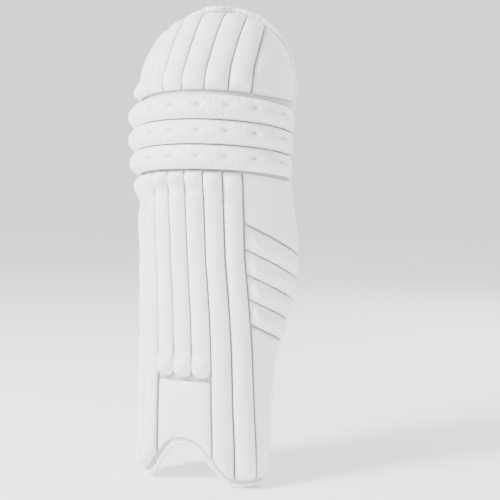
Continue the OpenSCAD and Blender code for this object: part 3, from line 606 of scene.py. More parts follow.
def shin_rolls():
    for i in range(1, 8):
        k0 = i - 4
        short = abs(k0) < 1.5

        def at(u, v, k0=k0, short=short):
            k = k0 + u - 0.5
            low = np.full_like(u, 30.0)
            for _ in range(4):
                low = bottom(roll_s(k, low)) + 2
            if short:
                low = INSTEP + 1.5 + 6 * np.abs(2 * u - 1) ** 3
            z = mix(low, shin_top(roll_s(k, 455.0)), v)
            return roll_s(k, z) + 0.35 * (1 - 2 * u), z

        def crown(u, v, i=i, short=short):
            # a bulb under the knee rolls, a waist below it, and a scalloped foot on the short rolls
            top = 6.0 * np.exp(-((v - 0.965) / 0.034) ** 2) - 3.4 * np.exp(-((v - 0.9) / 0.022) ** 2)
            foot = (5.2 if short else 3.6) * np.exp(-((v - 0.045) / 0.04) ** 2)
            foot = foot - (2.6 if short else 1.0) * np.exp(-((v - 0.12) / 0.025) ** 2)
            ends = round_end(v, 0.032 if short else 0.026)
            side = np.abs(2 * u - 1)
            wander = 0.5 * np.sin(v * 21 + i * 2.1) + 0.35 * np.sin(v * 47 + i)
            gather = side ** 2 * (1 - side) * 4.5 * pucker(v * 400, 9.5, 0.7, i * 1.7)
            return (half_round(u) ** 0.9 * (10.8 + top + foot + wander) + gather) * ends

        soft(pillow(at, crown, 16, 130), "shin_roll_cover_%d" % i, LEATHER, "pad", "white_leather",
             ("shin_roll_%d" % i,), 0.85)


def instep():
    def at(u, v):
        k = mix(-1.5, 1.5, u)
        z = mix(bottom(roll_s(k, 58.0)) + 1.5, INSTEP - 1.0, v)
        return roll_s(k, z) + 0.4 * (1 - 2 * u), z

    def crown(u, v):
        return 5.0 * round_end(u, 0.12) * round_end(v, 0.1) + 0.8 * half_round(u)

    soft(pillow(at, crown, 36, 40, spread=(False, False)), "instep_cover", LEATHER, "pad", "white_leather",
         ("instep_panel",), 0.4)


def side_s(side, z):
    return roll_s(side * 3.5, z) + side * 0.4


def foot_corner(side, z):
    """Where the outline runs: the pad's edge, then the rounded corner of the foot."""
    drop = np.clip(FOOT_LIFT + FOOT_R - z, 0, FOOT_R)
    corner = FOOT_END[side] - FOOT_R + np.sqrt(FOOT_R ** 2 - drop ** 2)
    return np.where(drop > 0, corner, edge(side, z))


def sides():
    """The plain side panel, the wing's four quilts and its upper and lower panels."""
    def plain_at(u, v):
        top = fallen(-edge(-1, KNEE_LOW), KNEE_LOW) - 2
        z = mix(FOOT_LIFT + 3, float(top), v)
        return mix(-foot_corner(-1, z) + 1, side_s(-1, z), u), z

    soft(pillow(plain_at, lambda u, v: 4.2 * round_end(u, 0.25) * round_end(v, 0.04), 14, 100, spread=(False, False)),
         "plain_side_cover", LEATHER, "pad", "white_leather", ("plain_side_panel",), 0.4)

    quilt_z = [236 + 36 * k for k in range(5)]

    def seam(s, k):
        return quilt_z[k] - 0.5 * (s - side_s(1, float(quilt_z[k])))

    def seam_end(k):
        s = float(side_s(1, 236.0))
        for _ in range(7):
            s = mix(s, float(edge(1, seam(s, k))) - 1, 0.7)
        return s

    ends = [seam_end(k) for k in range(5)]
    for k in range(1, 5):
        def quilt_at(u, v, k=k):
            s = mix(side_s(1, mix(float(quilt_z[k - 1]), float(quilt_z[k]), v)), mix(ends[k - 1], ends[k], v), u)
            return s, mix(seam(s, k - 1) + 0.4, seam(s, k) - 0.4, v)

        def quilt_crown(u, v, k=k):
            gather = 0.7 * np.sin(u * 38 + k) * np.exp(-((v - 0.92) / 0.1) ** 2)
            return (8.2 * half_round(v) ** 0.85 * (1 + 0.12 * np.sin(np.pi * v)) + gather) * round_end(u, 0.16)

        soft(pillow(quilt_at, quilt_crown, 40, 22, spread=(False, True), under=0.6), "wing_quilt_cover_%d" % k, LEATHER,
             "pad", "white_leather", ("wing_quilt_%d" % k,), 0.75, pressure=2.0, cap=1.6, slack=0.03, frames=8)

    def upper_at(u, v):
        z_low = seam(mix(side_s(1, 380.0), ends[4], u), 4) + 0.4
        near, far = float(shin_top(side_s(1, 455.0))), float(fallen(edge(1, KNEE_LOW), KNEE_LOW)) - 2
        z_high = mix(near, far, u)
        first, last = seam(side_s(1, 380.0), 4) + 0.4, seam(ends[4], 4) + 0.4
        z_edge, z_roll = mix(float(last), far, v), mix(float(first), near, v)
        return mix(side_s(1, z_roll), edge(1, z_edge) - 1, u), mix(z_low, z_high, v)

    soft(pillow(upper_at, lambda u, v: 5.0 * round_end(u, 0.14) * round_end(v, 0.1), 36, 34, spread=(False, False), under=0.6),
         "wing_upper_cover", LEATHER, "pad", "white_leather", ("wing_upper_panel",), 0.4)

    def lower_at(u, v):
        z_low, near, far = FOOT_LIFT + 3, float(seam(side_s(1, 236.0), 0)) - 0.4, float(seam(ends[0], 0)) - 0.4
        z_high = seam(mix(side_s(1, 236.0), ends[0], u), 0) - 0.4
        z_edge, z_roll = mix(z_low, far, v), mix(z_low, near, v)
        return mix(side_s(1, z_roll), foot_corner(1, z_edge) - 1, u), mix(z_low, z_high, v)

    soft(pillow(lower_at, lambda u, v: 5.0 * round_end(u, 0.22) * round_end(v, 0.05), 18, 60, spread=(False, False), under=0.6),
         "wing_lower_cover", LEATHER, "pad", "white_leather", ("wing_lower_panel",), 0.4)
    # lines of stitching along the quilts' seams, and down the wing's edge
    lines = [[(mix(float(side_s(1, float(quilt_z[k]))), ends[k], t), float(seam(mix(float(side_s(1, float(quilt_z[k]))), ends[k], t), k)), 3.4)
              for t in np.linspace(0.02, 0.98, 12)] for k in range(5)]
    lines.append([(float(edge(1, z)) - 4, z, 5.6) for z in np.linspace(40, 215, 30)])
    stitching("wing_stitching", lines, "pad", pitch=3.6, thread=0.5)


TUFTS = {1: (-96.7, -51.6, -16.6, 20.0, 56.2, 91.6, 134.3), 2: (-93.9, -50.8, -16.6, 20.0, 55.0, 90.8, 135.1),
         3: (-91.8, -52.4, -17.4, 18.4, 53.8, 90.8, 132.7)}


def knee_rolls():
    marks = []
    for i in (1, 2, 3):
        z_mid = SEAM - (i - 0.5) * KNEE_ROLL_W
        half = KNEE_ROLL_W / 2 - 0.4
        reach = {side: float(edge(side, z_mid)) - 1 for side in (-1, 1)}

        def at(u, v, z_mid=z_mid, half=half, reach=reach):
            w = 2 * u - 1
            s = w * np.where(w < 0, reach[-1], reach[1])
            return s, fallen(s, z_mid) + half * (2 * v - 1)

        def crown(u, v, i=i, reach=reach):
            w = 2 * u - 1
            s = w * np.where(w < 0, reach[-1], reach[1])
            full = np.minimum(1, 1.25 - 1.05 * np.abs(w) ** 3) * mix(0.35, 1, round_end(u, 0.025))
            # the filling hangs a little, so the roll is fullest below its middle
            round_ = half_round(np.clip(v, 0, 1)) ** 0.8 * (1 + 0.1 * np.cos(np.pi * v))
            dent = sum(np.exp(-(((s - t) / 5.5) ** 2 + ((v - 0.55) * KNEE_ROLL_W / 3.6) ** 2)) for t in TUFTS[i])
            pull = sum(np.exp(-(((s - t) / 15) ** 2 + ((v - 0.5) * KNEE_ROLL_W / 17) ** 2)) for t in TUFTS[i])
            rim = np.abs(2 * v - 1)
            gather = rim ** 2 * (1 - rim) * 4.5 * pucker(s, 8.5, 0.8, i * 2.3)
            return (19.6 * round_ - 3.6 * dent - 0.6 * pull + gather) * full

        # painted shade: dark where the roll's crown falls low and in the dimples at the tufts
        def tuft_and_crease_shade(u, v, i=i, reach=reach):
            w = 2 * u - 1
            s = w * np.where(w < 0, reach[-1], reach[1])
            dent = sum(np.exp(-(((s - t) / 3.6) ** 2 + ((v - 0.55) * KNEE_ROLL_W / 1.5) ** 2)) for t in TUFTS[i])
            return np.maximum(1 - crown(u, v) / 5, dent)

        soft(pillow(at, crown, 200, 30, spread=(False, True), seam=tuft_and_crease_shade), "knee_roll_cover_%d" % i, LEATHER, "pad", "white_leather", ("knee_roll_%d" % i,), 0.85,
             pressure=1.5, cap=0.5, slack=0.015, frames=8)
        for t in TUFTS[i]:
            u = np.array([(t / (reach[1] if t > 0 else reach[-1]) + 1) / 2])
            s, z = at(u, np.array([0.55]))
            d = 0.4 + float(crown(u, np.array([0.55]))[0]) + 0.25
            marks.append([(t - 2.6, float(fallen(t - 2.6, z_mid)) + half * 0.1, d), (t + 2.6, float(fallen(t + 2.6, z_mid)) + half * 0.1, d)])
    bm = bmesh.new()
    for path in marks:
        capsules(bm, *sewn(path, pitch=5.0, thread=0.55, share=0.95))
    finish_piece(bm, "knee_tuft_ties", THREAD, "pad", "binding")
    creases = [[(s, float(fallen(s, SEAM - k * KNEE_ROLL_W)), 5.2) for s in np.linspace(-150, 158, 60)] for k in (1, 2)]
    creases.append([(s, float(fallen(s, KNEE_LOW)) - 0.3, 3.0) for s in np.linspace(-150, 158, 60)])
    stitching("knee_stitching", creases, "pad", pitch=3.8, thread=0.5)


# ---- Top hat ----
HAT_MID, HAT_ROLL_W = -26, 32.9
HAT_LEVELS = np.linspace(600, HAT_TOP, 30)
HAT_EDGE = edge(1, HAT_LEVELS)


def hat_top(s, margin):
    return np.interp(-(np.abs(s) + margin), -HAT_EDGE, HAT_LEVELS) - margin * 0.25


def hat_low(s):
    """The lower ends of the hat's rolls clear the upper knee roll when the hat tips forward."""
    y = skin(s, np.full_like(s, SEAM))[..., 1] + MID_Y
    return fallen(s, np.full_like(s, SEAM)) + np.maximum(5, FLEX_TAN * (y + 40) + 1.5)


def top_hat():
    def column(name, s_from, s_to, crown, nu, fill, replaced, flat=False):
        def at(u, v):
            s = mix(s_from + 0.35, s_to - 0.35, u)
            return s, mix(hat_low(s) + 0.2, hat_top(s, 5) - 1.5, v)
        soft(pillow(at, crown, nu, 46, spread=(not flat, False), under=0.4), name, HAT_LEATHER, "top_hat", "white_leather",
             replaced, fill)

    for i in range(1, 8):
        s0 = HAT_MID + (i - 4) * HAT_ROLL_W

        def crown(u, v, i=i):
            swell = 4.2 * np.exp(-((v - 0.14) / 0.12) ** 2) + 0.8 * np.sin(v * 9 + i)
            waist = 1.2 * np.exp(-((v - 0.34) / 0.07) ** 2)
            side = np.abs(2 * u - 1)
            gather = side ** 2 * (1 - side) * 4 * pucker(v * 130, 11, 0.6, i * 1.9)
            return (half_round(u) ** 0.85 * (8.4 + swell - waist) + gather) * round_end(v, 0.1, 0.6)

        column("top_hat_roll_cover_%d" % i, s0 - HAT_ROLL_W / 2, s0 + HAT_ROLL_W / 2, crown, 16, 0.7, ("top_hat_roll_%d" % i,))
    start = HAT_MID + 3.5 * HAT_ROLL_W
    column("top_hat_side_cover", start, float(edge(1, float(SEAM))) - 3,
           lambda u, v: 3.6 * round_end(u, 0.1) * round_end(v, 0.1), 30, 0.3, ("top_hat_side_panel",), flat=True)
    seams = []
    for k in range(-3, 5):
        s = HAT_MID + (k - 0.5) * HAT_ROLL_W
        if abs(s) < 150:
            low_z, high_z = float(fallen(s, SEAM)) + 8, float(hat_top(s, 5)) - 5
            seams.append([(s, z, 4.0) for z in np.linspace(low_z, high_z, 24)])
    stitching("top_hat_stitching", seams, "top_hat", pitch=3.6, thread=0.5)


def swept(points, outs, radius, sides, close=False):
    """A tube through these points. outs are directions square to it; radius(t, turn) gives its size at an angle."""
    count = len(points)
    bm = bmesh.new()
    bmesh.ops.create_grid(bm, x_segments=count - 1, y_segments=sides, size=0.5)
    raw = np.array([v.co for v in bm.verts]) + 0.5
    row = np.rint(raw[:, 0] * (count - 1)).astype(int)
    turn = raw[:, 1] * 2 * math.pi
    points = np.asarray(points, float)
    ahead = np.gradient(points, axis=0)
    ahead /= np.linalg.norm(ahead, axis=1, keepdims=True)
    outs = np.asarray(outs, float)
    outs = outs - (outs * ahead).sum(1, keepdims=True) * ahead
    outs /= np.linalg.norm(outs, axis=1, keepdims=True)
    third = np.cross(ahead, outs)
    size = radius(row / (count - 1), turn)[:, None]
    place = points[row] + size * (np.cos(turn)[:, None] * outs[row] + np.sin(turn)[:, None] * third[row])
    for vert, p in zip(list(bm.verts), place):
        vert.co = p
    bmesh.ops.remove_doubles(bm, verts=bm.verts, dist=0.000005)
    if not close:
        bmesh.ops.holes_fill(bm, edges=[e for e in bm.edges if e.is_boundary], sides=0)
    bmesh.ops.recalc_face_normals(bm, faces=bm.faces)
    return bm


def resampled(points, step):
    """Points spaced evenly, in metres."""
    points = np.asarray(points, float)
    run = np.concatenate([[0], np.cumsum(np.linalg.norm(np.diff(points, axis=0), axis=1))])
    marks = np.linspace(0, run[-1], max(3, int(run[-1] / step)))
    return np.stack([np.interp(marks, run, points[:, i]) for i in range(3)], -1)


def relaxed(points, times):
    """Evens out the corners of a path."""
    points = np.array(points, float)
    for _ in range(times):
        points[1:-1] = (points[:-2] + 2 * points[1:-1] + points[2:]) / 4
    return points


def bindings():
    # the hat's thick binding, gathered by its whipped thread
    reach = 5.2 + 2.4

    def seat(s, z):
        turn = math.radians(68) * smooth((z - 610) / 66)
        p = on_pad(s, z, -HAT_T / 2)
        push = np.stack([np.zeros_like(turn), np.cos(turn), np.sin(turn)], -1) * reach * MM
        return p + push

    rise = mix(float(fallen(edge(1, float(SEAM)), SEAM)) + 3, HAT_TOP, np.sin(np.linspace(0, math.pi / 2, 40)))
    top_w = np.linspace(0.85, -0.85, 14) * float(edge(1, HAT_TOP))
    path = np.concatenate([seat(edge(1, rise), rise), seat(top_w, np.full_like(top_w, HAT_TOP)), seat(-edge(-1, rise), rise)[::-1]])
    path = relaxed(resampled(path, 0.0012), 60)
    centre = np.array([0, 0.04, 0.6])
    outs = path - centre
    length = len(path)

    def ruched(t, turn):
        gather = np.abs(np.sin(t * length * 0.0012 / 0.0105 * math.pi))
        return (4.75 + 0.75 * gather ** 0.6 + 0.15 * np.sin(3 * turn + t * 300)) * MM

    ob = finish_piece(swept(path, outs, ruched, 18), "top_hat_binding_cover", BINDING, "top_hat", "binding",
                      ("top_hat_binding",), 1)
    bm = bmesh.new()
    ahead = np.gradient(path, axis=0)
    ahead /= np.linalg.norm(ahead, axis=1, keepdims=True)
    outs = outs / np.linalg.norm(outs, axis=1, keepdims=True)
    step = 10.5 / 1.2
    front = np.array([0, -1, 0])
    for n in range(1, int(length / step)):
        k = int(n * step)
        side = front - front.dot(ahead[k]) * ahead[k]
        side /= np.linalg.norm(side)
        for lean in (-0.7, 0.1, 0.9):
            d = math.cos(lean) * side + math.sin(lean) * outs[k]
            along = -math.sin(lean) * side + math.cos(lean) * outs[k] + 0.35 * ahead[k]
            capsules(bm, [(path[k] + d * 4.85 * MM, along)], [d], 4.6 * MM, 0.42 * MM)
    finish_piece(bm, "top_hat_whipping", THREAD, "top_hat", "binding")

    # the edge binding: down the wing, round the feet and the arch, and up the plain side
    reach = 4.2 + 1.2
    z_high = float(fallen(edge(1, float(SEAM)), SEAM)) - 16.5 - FLEX_TAN * (float(skin(edge(1, float(SEAM)), float(SEAM))[1]) + MID_Y + 40)
    z = np.linspace(z_high, FOOT_LIFT + FOOT_R + 2, 120)
    right = on_pad(edge(1, z) + reach, z, -FACE_T / 2)
    left = on_pad(-edge(-1, z) - reach, z, -FACE_T / 2)

    def corner(side, angles):
        r = FOOT_R + reach
        return on_pad(side * (FOOT_END[side] - FOOT_R + r * np.sin(angles)), FOOT_LIFT + FOOT_R - r * np.cos(angles), -FACE_T / 2)

    s = np.linspace(FOOT_END[1] - FOOT_R, -(FOOT_END[-1] - FOOT_R), 150)
    slope = (bottom(s + 0.5) - bottom(s - 0.5))
    k = np.hypot(slope, 1)
    under = on_pad(s + reach * slope / k, bottom(s) - reach / k, -FACE_T / 2)
    path = np.concatenate([right, corner(1, np.radians(np.linspace(80, 5, 12))), under, corner(-1, np.radians(np.linspace(5, 80, 12))), left[::-1]])
    path = relaxed(resampled(path, 0.002), 8)
    outs = np.gradient(path, axis=0)
    outs = np.cross(outs, path * [1, 1, 0] + [0, 0.05, 0])
    length = len(path)
    ob = finish_piece(swept(path, outs, lambda t, turn: (3.9 + 0.22 * np.sin(t * length * 2 / 9.0 * 2 * math.pi)) * MM, 14),
                      "edge_binding_cover", BINDING, "pad", "binding", ("edge_binding",), 1)


# ---- Inside ----
def cushions():
    base = FACE_T + 1

    def pad(name, at, crown, nu, nv, node_name, fill, body="pad", finish=LINING, start=base, **cloth):
        soft(pillow(at, crown, nu, nv, base=start, spread=(False, False), direction=-1, under=0.3), name, finish, body,
             "lining", (node_name,), fill, **cloth)

    z_cushion = SEAM - 118
    z_bolster = (92, z_cushion - 8)

    def cushion_at(a, b):
        def at(u, v):
            s = mix(a, b, u)
            y = skin(s, np.full_like(s, SEAM))[..., 1] + MID_Y
            top = fallen(s, np.full_like(s, SEAM)) - 5 - FLEX_TAN * (y + 40)
            return s, mix(fallen(s, np.full_like(s, z_cushion)), top, v)
        return at

    def plump_crown(height, share_u, share_v, seed=0.0):
        def crown(u, v):
            rim = np.maximum(np.abs(2 * u - 1), np.abs(2 * v - 1))
            gather = rim ** 6 * (1 - rim) * 14 * np.sin(u * 40 + v * 55 + seed)
            return height * round_end(u, share_u) * round_end(v, share_v) * (0.86 + 0.14 * np.sin(np.pi * u) * np.sin(np.pi * v)) + gather
        return crown

    for name, a, b, node_name in (("knee_cushion_centre_cover", -41, 33, "knee_cushion_centre"),
                                  ("knee_cushion_wing_cover", 35, 150, "knee_cushion_wing_side"),
                                  ("knee_cushion_plain_cover", -150, -43, "knee_cushion_plain_side")):
        pad(name, cushion_at(a, b), plump_crown(21, 0.22, 0.16, a), 34 if b - a > 90 else 24, 34, node_name, 0.7,
            start=base + 1.6, pressure=2.0, cap=3.0, slack=0.04, frames=10)

    def bolster_at(s_in, s_out):
        side = 1 if s_in > 0 else -1
        def at(u, v):
            narrow = 12 * (1 - v) ** 3
            a, b = s_in + side * narrow * 0.4, s_out - side * narrow * 2.2
            z = mix(z_bolster[0], float(fallen(s_in, z_bolster[1])) - 2, v)
            return (mix(a, b, u) if side > 0 else mix(b, a, u)), z
        return at

    for name, a, b, node_name in (("wing_bolster_cover", 37, 118, "wing_side_bolster"), ("plain_bolster_cover", -45, -106, "plain_side_bolster")):
        pad(name, bolster_at(a, b), plump_crown(26, 0.36, 0.08, a), 24, 90, node_name, 0.75, pressure=2.0, cap=3.0,
            slack=0.03, frames=10)

    def shin_at(u, v):
        s = mix(-41, 33, u)
        return s, mix(128 + 14 * np.sin(np.pi * u), fallen(s, np.full_like(s, z_bolster[1])) - 2, v)

    pad("shin_pad_cover", shin_at, plump_crown(11.2, 0.2, 0.05), 20, 80, "shin_pad", 0.6, pressure=1.5, cap=2.0, slack=0.03, frames=8)

    def lining_at(a, b):
        def at(u, v):
            s = mix(a, b, u)
            return s, mix(bottom(s) + 3, 89.0, v)
        return at

    for name, a, b in (("ankle_lining_centre", -41, 33), ("ankle_lining_wing_side", 35, FOOT_END[1] - 9), ("ankle_lining_plain_side", -FOOT_END[-1] + 9, -43)):
        pad(name + "_cover", lining_at(a, b), plump_crown(4.6, 0.12, 0.2), 24, 20, name, 0.3)

    def wing_at(u, v):
        z = mix(245.0, z_cushion - 30.0, v)
        return mix(121, edge(1, z) - 30, u), z

    pad("wing_lining_cover", wing_at, plump_crown(3.0, 0.2, 0.08), 10, 40, "wing_lining", 0.2)

    def liner_at(u, v):
        w = 2 * u - 1
        side = np.where(w < 0, -1, 1)
        z_lin = mix(float(SEAM) + 3, HAT_TOP - 18, v)
        s = w * edge(side, z_lin)
        z = z_lin - TILT * (1 - v) ** 2 * (skin(s, z_lin)[..., 1] + MID_Y - line(z_lin, FRONT))
        return w * np.maximum(4, edge(side, z) - 5), z

    pad("top_hat_liner_cover", liner_at, lambda u, v: 12.4 * round_end(u, 0.1) * round_end(v, 0.1) * mix(1, 0.5, v), 60, 34,
        "top_hat_liner", 0.5, body="top_hat", start=HAT_T + 1)
    rows = [[(s, float(fallen(s, z_cushion)) - 1.0, -(base + 6)) for s in np.linspace(-140, 140, 40)]]
    bm = bmesh.new()
    for path in rows:
        capsules(bm, *sewn(path, pitch=4.5, thread=0.5))
    finish_piece(bm, "cushion_stitching", THREAD, "pad", "binding")


# ---- Straps ----
WEB_T, BAR_R, PLAY, BAR_GAP = 1.8, 2.2, 1.2, 13
LOOP_R = BAR_R + PLAY
FOLD_Y = WEB_T + LOOP_R
TAIL_Y = FOLD_Y + LOOP_R + WEB_T / 2
TURN_R = 3


def strap(name, z, width, anchor, tail, lift, edge_room, inside, sewn_out):
    """One strap: band, folded tail, anchor loop and buckle, in the strap's own frame, then placed on the pad."""
    half_plain, back_plain, _ = section(np.array(-1.0), np.array(float(z)))
    half_wing, back_wing, _ = section(np.array(1.0), np.array(float(z)))
    start = np.array([-half_plain + (10 + WEB_T if inside else -8), back_plain + edge_room - MID_Y])
    stop = np.array([half_wing - 10, back_wing + lift - MID_Y])
    run = stop - start
    length = float(np.hypot(*run))
    angle = math.atan2(run[1], run[0])
    c, sn = math.cos(angle), math.sin(angle)
    outer_x = length - anchor
    inner_x = outer_x - BAR_GAP

    def place(xy, zz):
        xy = np.asarray(xy, float)
        return np.stack([start[0] + xy[..., 0] * c - xy[..., 1] * sn, start[1] + xy[..., 0] * sn + xy[..., 1] * c, z + zz], -1) * MM

    def ring(cx, a0, a1, n=10, r=LOOP_R + WEB_T / 2):
        t = np.radians(np.linspace(a0, a1, n))
        return [(cx + r * math.cos(a), FOLD_Y + r * math.sin(a)) for a in t]

    def ribbon(path, width_, piece, body, replaced, ripple=0.0, thick=WEB_T, finish=WEBBING, slot="webbing"):
        """Webbing along a path in the strap's plane. Its edges are rounded by a bevel."""
        pts = np.asarray(path, float)
        run_ = np.concatenate([[0], np.cumsum(np.hypot(*np.diff(pts, axis=0).T))])
        marks = np.linspace(0, run_[-1], max(4, int(run_[-1] / 0.9)))
        pts = np.stack([np.interp(marks, run_, pts[:, i]) for i in (0, 1)], -1)
        for _ in range(2):
            pts[1:-1] = (pts[:-2] + 2 * pts[1:-1] + pts[2:]) / 4
        ahead = np.gradient(pts, axis=0)
        ahead /= np.hypot(*ahead.T)[:, None]
        normal = np.stack([-ahead[:, 1], ahead[:, 0]], -1)
        across = 8
        bm = bmesh.new()
        bmesh.ops.create_grid(bm, x_segments=len(pts) - 1, y_segments=across, size=0.5)
        raw = np.array([v.co for v in bm.verts]) + 0.5
        row = np.rint(raw[:, 0] * (len(pts) - 1)).astype(int)
        zz = (raw[:, 1] - 0.5) * width_
        uv = bm.loops.layers.uv.new("weave")
        wave = ripple * np.sin(marks[row] / 23 + zz / 31) * np.sin(np.pi * row / (len(pts) - 1)) ** 2
        verts = list(bm.verts)
        along = {v: marks[r] * MM for v, r in zip(verts, row)}
        high = {v: q * MM for v, q in zip(verts, zz)}
        lower_pts = place(pts[row] + normal[row] * (wave - thick / 2)[:, None], zz)
        upper_pts = place(pts[row] + normal[row] * (wave + thick / 2)[:, None], zz)
        for v, p in zip(verts, lower_pts):
            v.co = p
        copy = bmesh.ops.duplicate(bm, geom=list(bm.faces))
        for v, p in zip(verts, upper_pts):
            twin = copy["vert_map"][v]
            twin.co = p
            along[twin], high[twin] = along[v], high[v]
        bmesh.ops.reverse_faces(bm, faces=[g for g in copy["geom"] if isinstance(g, bmesh.types.BMFace)])
        bmesh.ops.bridge_loops(bm, edges=[e for e in bm.edges if e.is_boundary])
        for face_ in bm.faces:
            for loop in face_.loops:
                loop[uv].uv = (along[loop.vert], high[loop.vert])
        bmesh.ops.recalc_face_normals(bm, faces=bm.faces)
        rims = [e for e in bm.edges if e.calc_face_angle(0) > 1.0]
        bmesh.ops.bevel(bm, geom=rims, offset=0.0004, offset_type="OFFSET", segments=2, profile=0.5, affect="EDGES", material=-1)
        ob = finish_piece(bm, piece, finish, body, slot, replaced)
        return ob

    leg = edge_room + sewn_out - TURN_R
    lean = math.radians(8) if inside else 0
    h = WEB_T / 2
    corner = [(TURN_R - (TURN_R + h) * math.cos(a), -TURN_R + (TURN_R + h) * math.sin(a)) for a in np.radians(np.linspace(0, 90, 8))]
    foot = (-h + leg * math.sin(lean), -TURN_R - leg * math.cos(lean))
    band = [foot] + corner + [(x, h) for x in np.linspace(TURN_R + 4, inner_x, 30)] + ring(inner_x, -80, 84)
    ribbon(band, width, name + "_band_webbing", "pad", (name + "_band",),
           ripple=0.25)
    drop = TAIL_Y - WEB_T - 2 - WEB_T / 2
    slope = math.asin(min(0.9, drop / tail))
    tail_x = inner_x - WEB_T / 2 - 0.3
    way = np.array([-math.cos(slope), -math.sin(slope)])
    tail_path = [tuple(np.array([tail_x, TAIL_Y]) + way * d) for d in np.linspace(-1.2, tail, 30)]
    ribbon(tail_path, width - 1, name + "_tail_webbing", name + "_tail", (name + "_tail",))
    # loop tape on the band, under the tail's hook tape
    tip_x = tail_x - tail * math.cos(slope)
    ribbon([(tip_x + 1, WEB_T + 0.4), (tip_x + 10, WEB_T + 0.4), (tip_x + 22, WEB_T + 0.4)], width - 5, name + "_loop_tape",
           "pad", (), thick=0.6, finish=LOOPS, slot="hook_tape")
    sewn_tip = np.array([length, WEB_T]) + np.array([math.sin(-angle - math.radians(8)), -math.cos(-angle - math.radians(8))]) * (max(lift, 0) + 14)
    loop = [tuple(sewn_tip + [-1.2, 0]), (length - 2.4, h)] + [(x, h) for x in np.linspace(length - 5, outer_x + 1, 6)] + \
        ring(outer_x, -90, -270, 12) + [(x, TAIL_Y) for x in np.linspace(outer_x + 1, length - 4, 6)] + \
        [(length - 0.9, TAIL_Y - 2), (length - 0.6, WEB_T + 1), tuple(sewn_tip + [0.7, 0])]
    ribbon(loop, width - 2, name + "_anchor_webbing", "pad", (name + "_anchor",))
    # the buckle: a moulded ring with two bars and rounded ends
    inside_h = width / 2 + 1 + 2.2
    ring_path = []
    for cx, cz, a0 in ((outer_x - 0, inside_h, 90), (inner_x, inside_h, 180), (inner_x, -inside_h, 270), (outer_x, -inside_h, 0)):
        r = 3.0
        ox, oz = (-r if cx == outer_x else r), (-r if cz > 0 else r)
        start_a = {90: 0, 180: 90, 270: 180, 0: 270}[a0]
        ring_path += [(cx + ox + r * math.cos(a), cz + oz + r * math.sin(a)) for a in np.radians(np.linspace(start_a, start_a + 90, 6))]
    ring_path.append(ring_path[0])
    pts = np.array([place(np.array([x, FOLD_Y]), zz) for x, zz in ring_path])
    pts = resampled(pts, 0.0012)
    face_way = np.array([-sn, c, 0])
    bm = swept(pts, np.tile(face_way, (len(pts), 1)), lambda t, turn: (2.15 + 0.12 * np.cos(4 * turn)) * MM + 0 * t, 16, close=True)
    bmesh.ops.remove_doubles(bm, verts=bm.verts, dist=0.0008)
    finish_piece(bm, name + "_buckle_ring", PLASTIC, name + "_buckle", "buckle_plastic", (name + "_buckle",))
    # boxes of stitching where the webbing is sewn down
    bm = bmesh.new()
    for x0, x1 in ((tail_x - 9, tail_x - 4),):
        for zz in (-width / 2 + 3, width / 2 - 3):
            for x in np.arange(x0, x1, 2.6):
                d = (tail_x - x)
                p = np.array([tail_x, TAIL_Y]) + way * d + np.array([-way[1], way[0]]) * -(h + 0.1)
                capsules(bm, [(place(p, zz), place(p + way, zz) - place(p, zz))], [face_way], 0.0018, 0.0003)
    finish_piece(bm, name + "_tail_stitching", THREAD, name + "_tail", "webbing")
    bm = bmesh.new()
    for zz in np.arange(-width / 2 + 3, width / 2 - 2, 2.6):
        for x in (outer_x + 7.0, length - 5.0):
            if x > outer_x + 5:
                p = np.array([x, TAIL_Y + h + 0.1])
                capsules(bm, [(place(p, zz), np.array([0, 0, 1.0]))], [face_way], 0.0018, 0.0003)
    finish_piece(bm, name + "_anchor_stitching", THREAD, "pad", "webbing")
    cut_cloth(name + "_hook_tape", name + "_hooks", HOOKS, name + "_tail", "hook_tape")
    return place, tail_x, way, length, face_way


def cut_cloth(node_name, name, finish, body, slot):
    """A flat piece of cloth or tape of the shape of its CAD node, with softened edges."""
    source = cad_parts[node_name]
    bm = bmesh.new()
    bm.from_mesh(source.data)
    bm.transform(source.matrix_world)
    bmesh.ops.remove_doubles(bm, verts=bm.verts, dist=0.000005)
    bmesh.ops.dissolve_limit(bm, angle_limit=0.02, verts=bm.verts, edges=bm.edges)
    sharp = [e for e in bm.edges if e.is_manifold and e.calc_face_angle(0) > 0.8]
    bmesh.ops.bevel(bm, geom=sharp, offset=0.00025, segments=2, profile=0.5, affect="EDGES", material=-1)
    ob = finish_piece(bm, name, finish, body, slot, (node_name,), smooth_faces=False)


def paint(node_name, finish):
    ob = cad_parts[node_name]
    for slot_ in ob.material_slots:
        slot_.material = finish


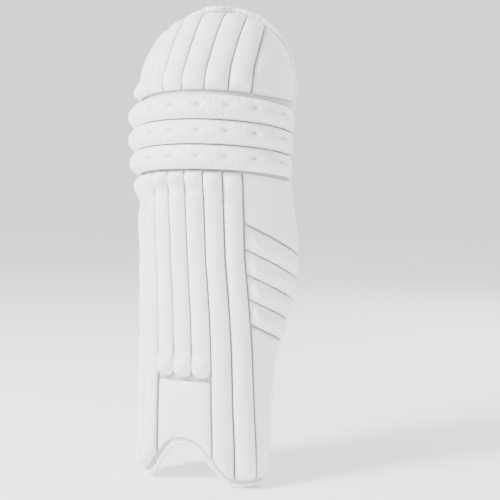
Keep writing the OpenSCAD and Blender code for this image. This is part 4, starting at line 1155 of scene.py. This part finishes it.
def straps():
    sewn_ankle = float(edge(-1, 180.0)) + float(side_s(-1, 180.0)) - 1
    strap("knee", 474, 26, 12, 26, 9, 9, True, 14)
    place, *_ = strap("calf", 339, 50, 32, 29, -12, 2 * 4.2 + 7, False, 14)
    ankle_place, tail_x, way, _, face_way = strap("ankle", 180, 50, 18, 115, 22, 2 * 4.2 + 2.5, False, sewn_ankle)
    cut_cloth("calf_yoke", "calf_yoke_cloth", WEBBING_FLAT, "pad", "webbing")
    paint("ankle_pull_tab", RUBBER)
    # raised arcs on the pull tab
    half, tab_len = 24, 19
    disc = (half * half + tab_len * tab_len) / (2 * tab_len)
    bm = bmesh.new()
    for shrink in (3.0, 6.0, 9.0):
        r = disc - shrink
        centre_x = disc - tab_len
        reach = math.acos(min(1, centre_x / r))
        arcs = [(centre_x - r * math.cos(a), r * math.sin(a)) for a in np.linspace(-reach, reach, 60)]
        pts = []
        for x, zz in arcs:
            base_xy = np.array([tail_x, TAIL_Y]) + way * (115 + 0.4 - x)
            up = np.array([way[1], -way[0]])
            pts.append(ankle_place(base_xy + up * 1.0, np.array(zz)))
        pts = relaxed(resampled(np.array(pts), 0.001), 2)
        rib = swept(pts, np.tile(face_way, (len(pts), 1)), lambda t, turn: 0.75 * MM + 0 * t, 8)
        mesh = bpy.data.meshes.new("rib")
        rib.to_mesh(mesh)
        rib.free()
        bm.from_mesh(mesh)
        bpy.data.meshes.remove(mesh)
    finish_piece(bm, "pull_tab_ribs", RUBBER, "pull_tab", "tab_rubber")
    # the blank label, sewn on round its edge
    bm = bmesh.new()
    bmesh.ops.create_cube(bm, size=1)
    for v in bm.verts:
        x, zz, t = v.co.x * 36 + 32, v.co.z * 36, v.co.y
        v.co = place(np.array([x, 1.8 + 0.4 + 0.6 + t * 1.1]), np.array(zz))
    bmesh.ops.bevel(bm, geom=list(bm.edges), offset=0.0004, segments=2, profile=0.5, affect="EDGES", material=-1)
    finish_piece(bm, "calf_label_patch", LEATHER, "pad", "label", ("calf_label",), smooth_faces=False)
    bm = bmesh.new()
    for t in np.arange(-15.5, 16, 2.6):
        for x, zz, way_ in ((32 + t, 15.8, 0), (32 + t, -15.8, 0), (32 - 15.8, t, 1), (32 + 15.8, t, 1)):
            p = place(np.array([x, 1.8 + 0.4 + 1.2 + 0.05]), np.array(zz))
            go = np.array([0, 0, 1.0]) if way_ else place(np.array([1.0, 0]), np.array(0.0)) - place(np.array([0.0, 0]), np.array(0.0))
            capsules(bm, [(p, go)], [face_way], 0.0017, 0.0003)
    finish_piece(bm, "calf_label_stitching", THREAD, "pad", "label")


def shin_stitching():
    lines = []
    for k in (-2.5, -1.5, -0.5, 0.5, 1.5, 2.5, 3.5):
        low = INSTEP + 4 if abs(k) < 1 else (float(bottom(float(roll_s(k, 60.0)))) + 6 if abs(k) > 1.6 else float(bottom(float(roll_s(k, 60.0)))) + 8)
        high = float(shin_top(roll_s(k, 455.0))) - 4
        lines.append([(float(roll_s(k, z)), z, 3.6) for z in np.linspace(low, high, 80)])
    lines.append([(float(roll_s(k, INSTEP)), INSTEP - 1.5, 4.6) for k in np.linspace(-1.45, 1.45, 30)])
    stitching("shin_stitching", lines, "pad", pitch=3.6, thread=0.55)


camera()
studio()
WEBBING_FLAT = rough_tape("yoke_webbing", "#EEEEEE", 1.2, 0.35)
paint("shin_canes", CANE)
face()
shin_rolls()
instep()
sides()
knee_rolls()
top_hat()
bindings()
cushions()
straps()
shin_stitching()
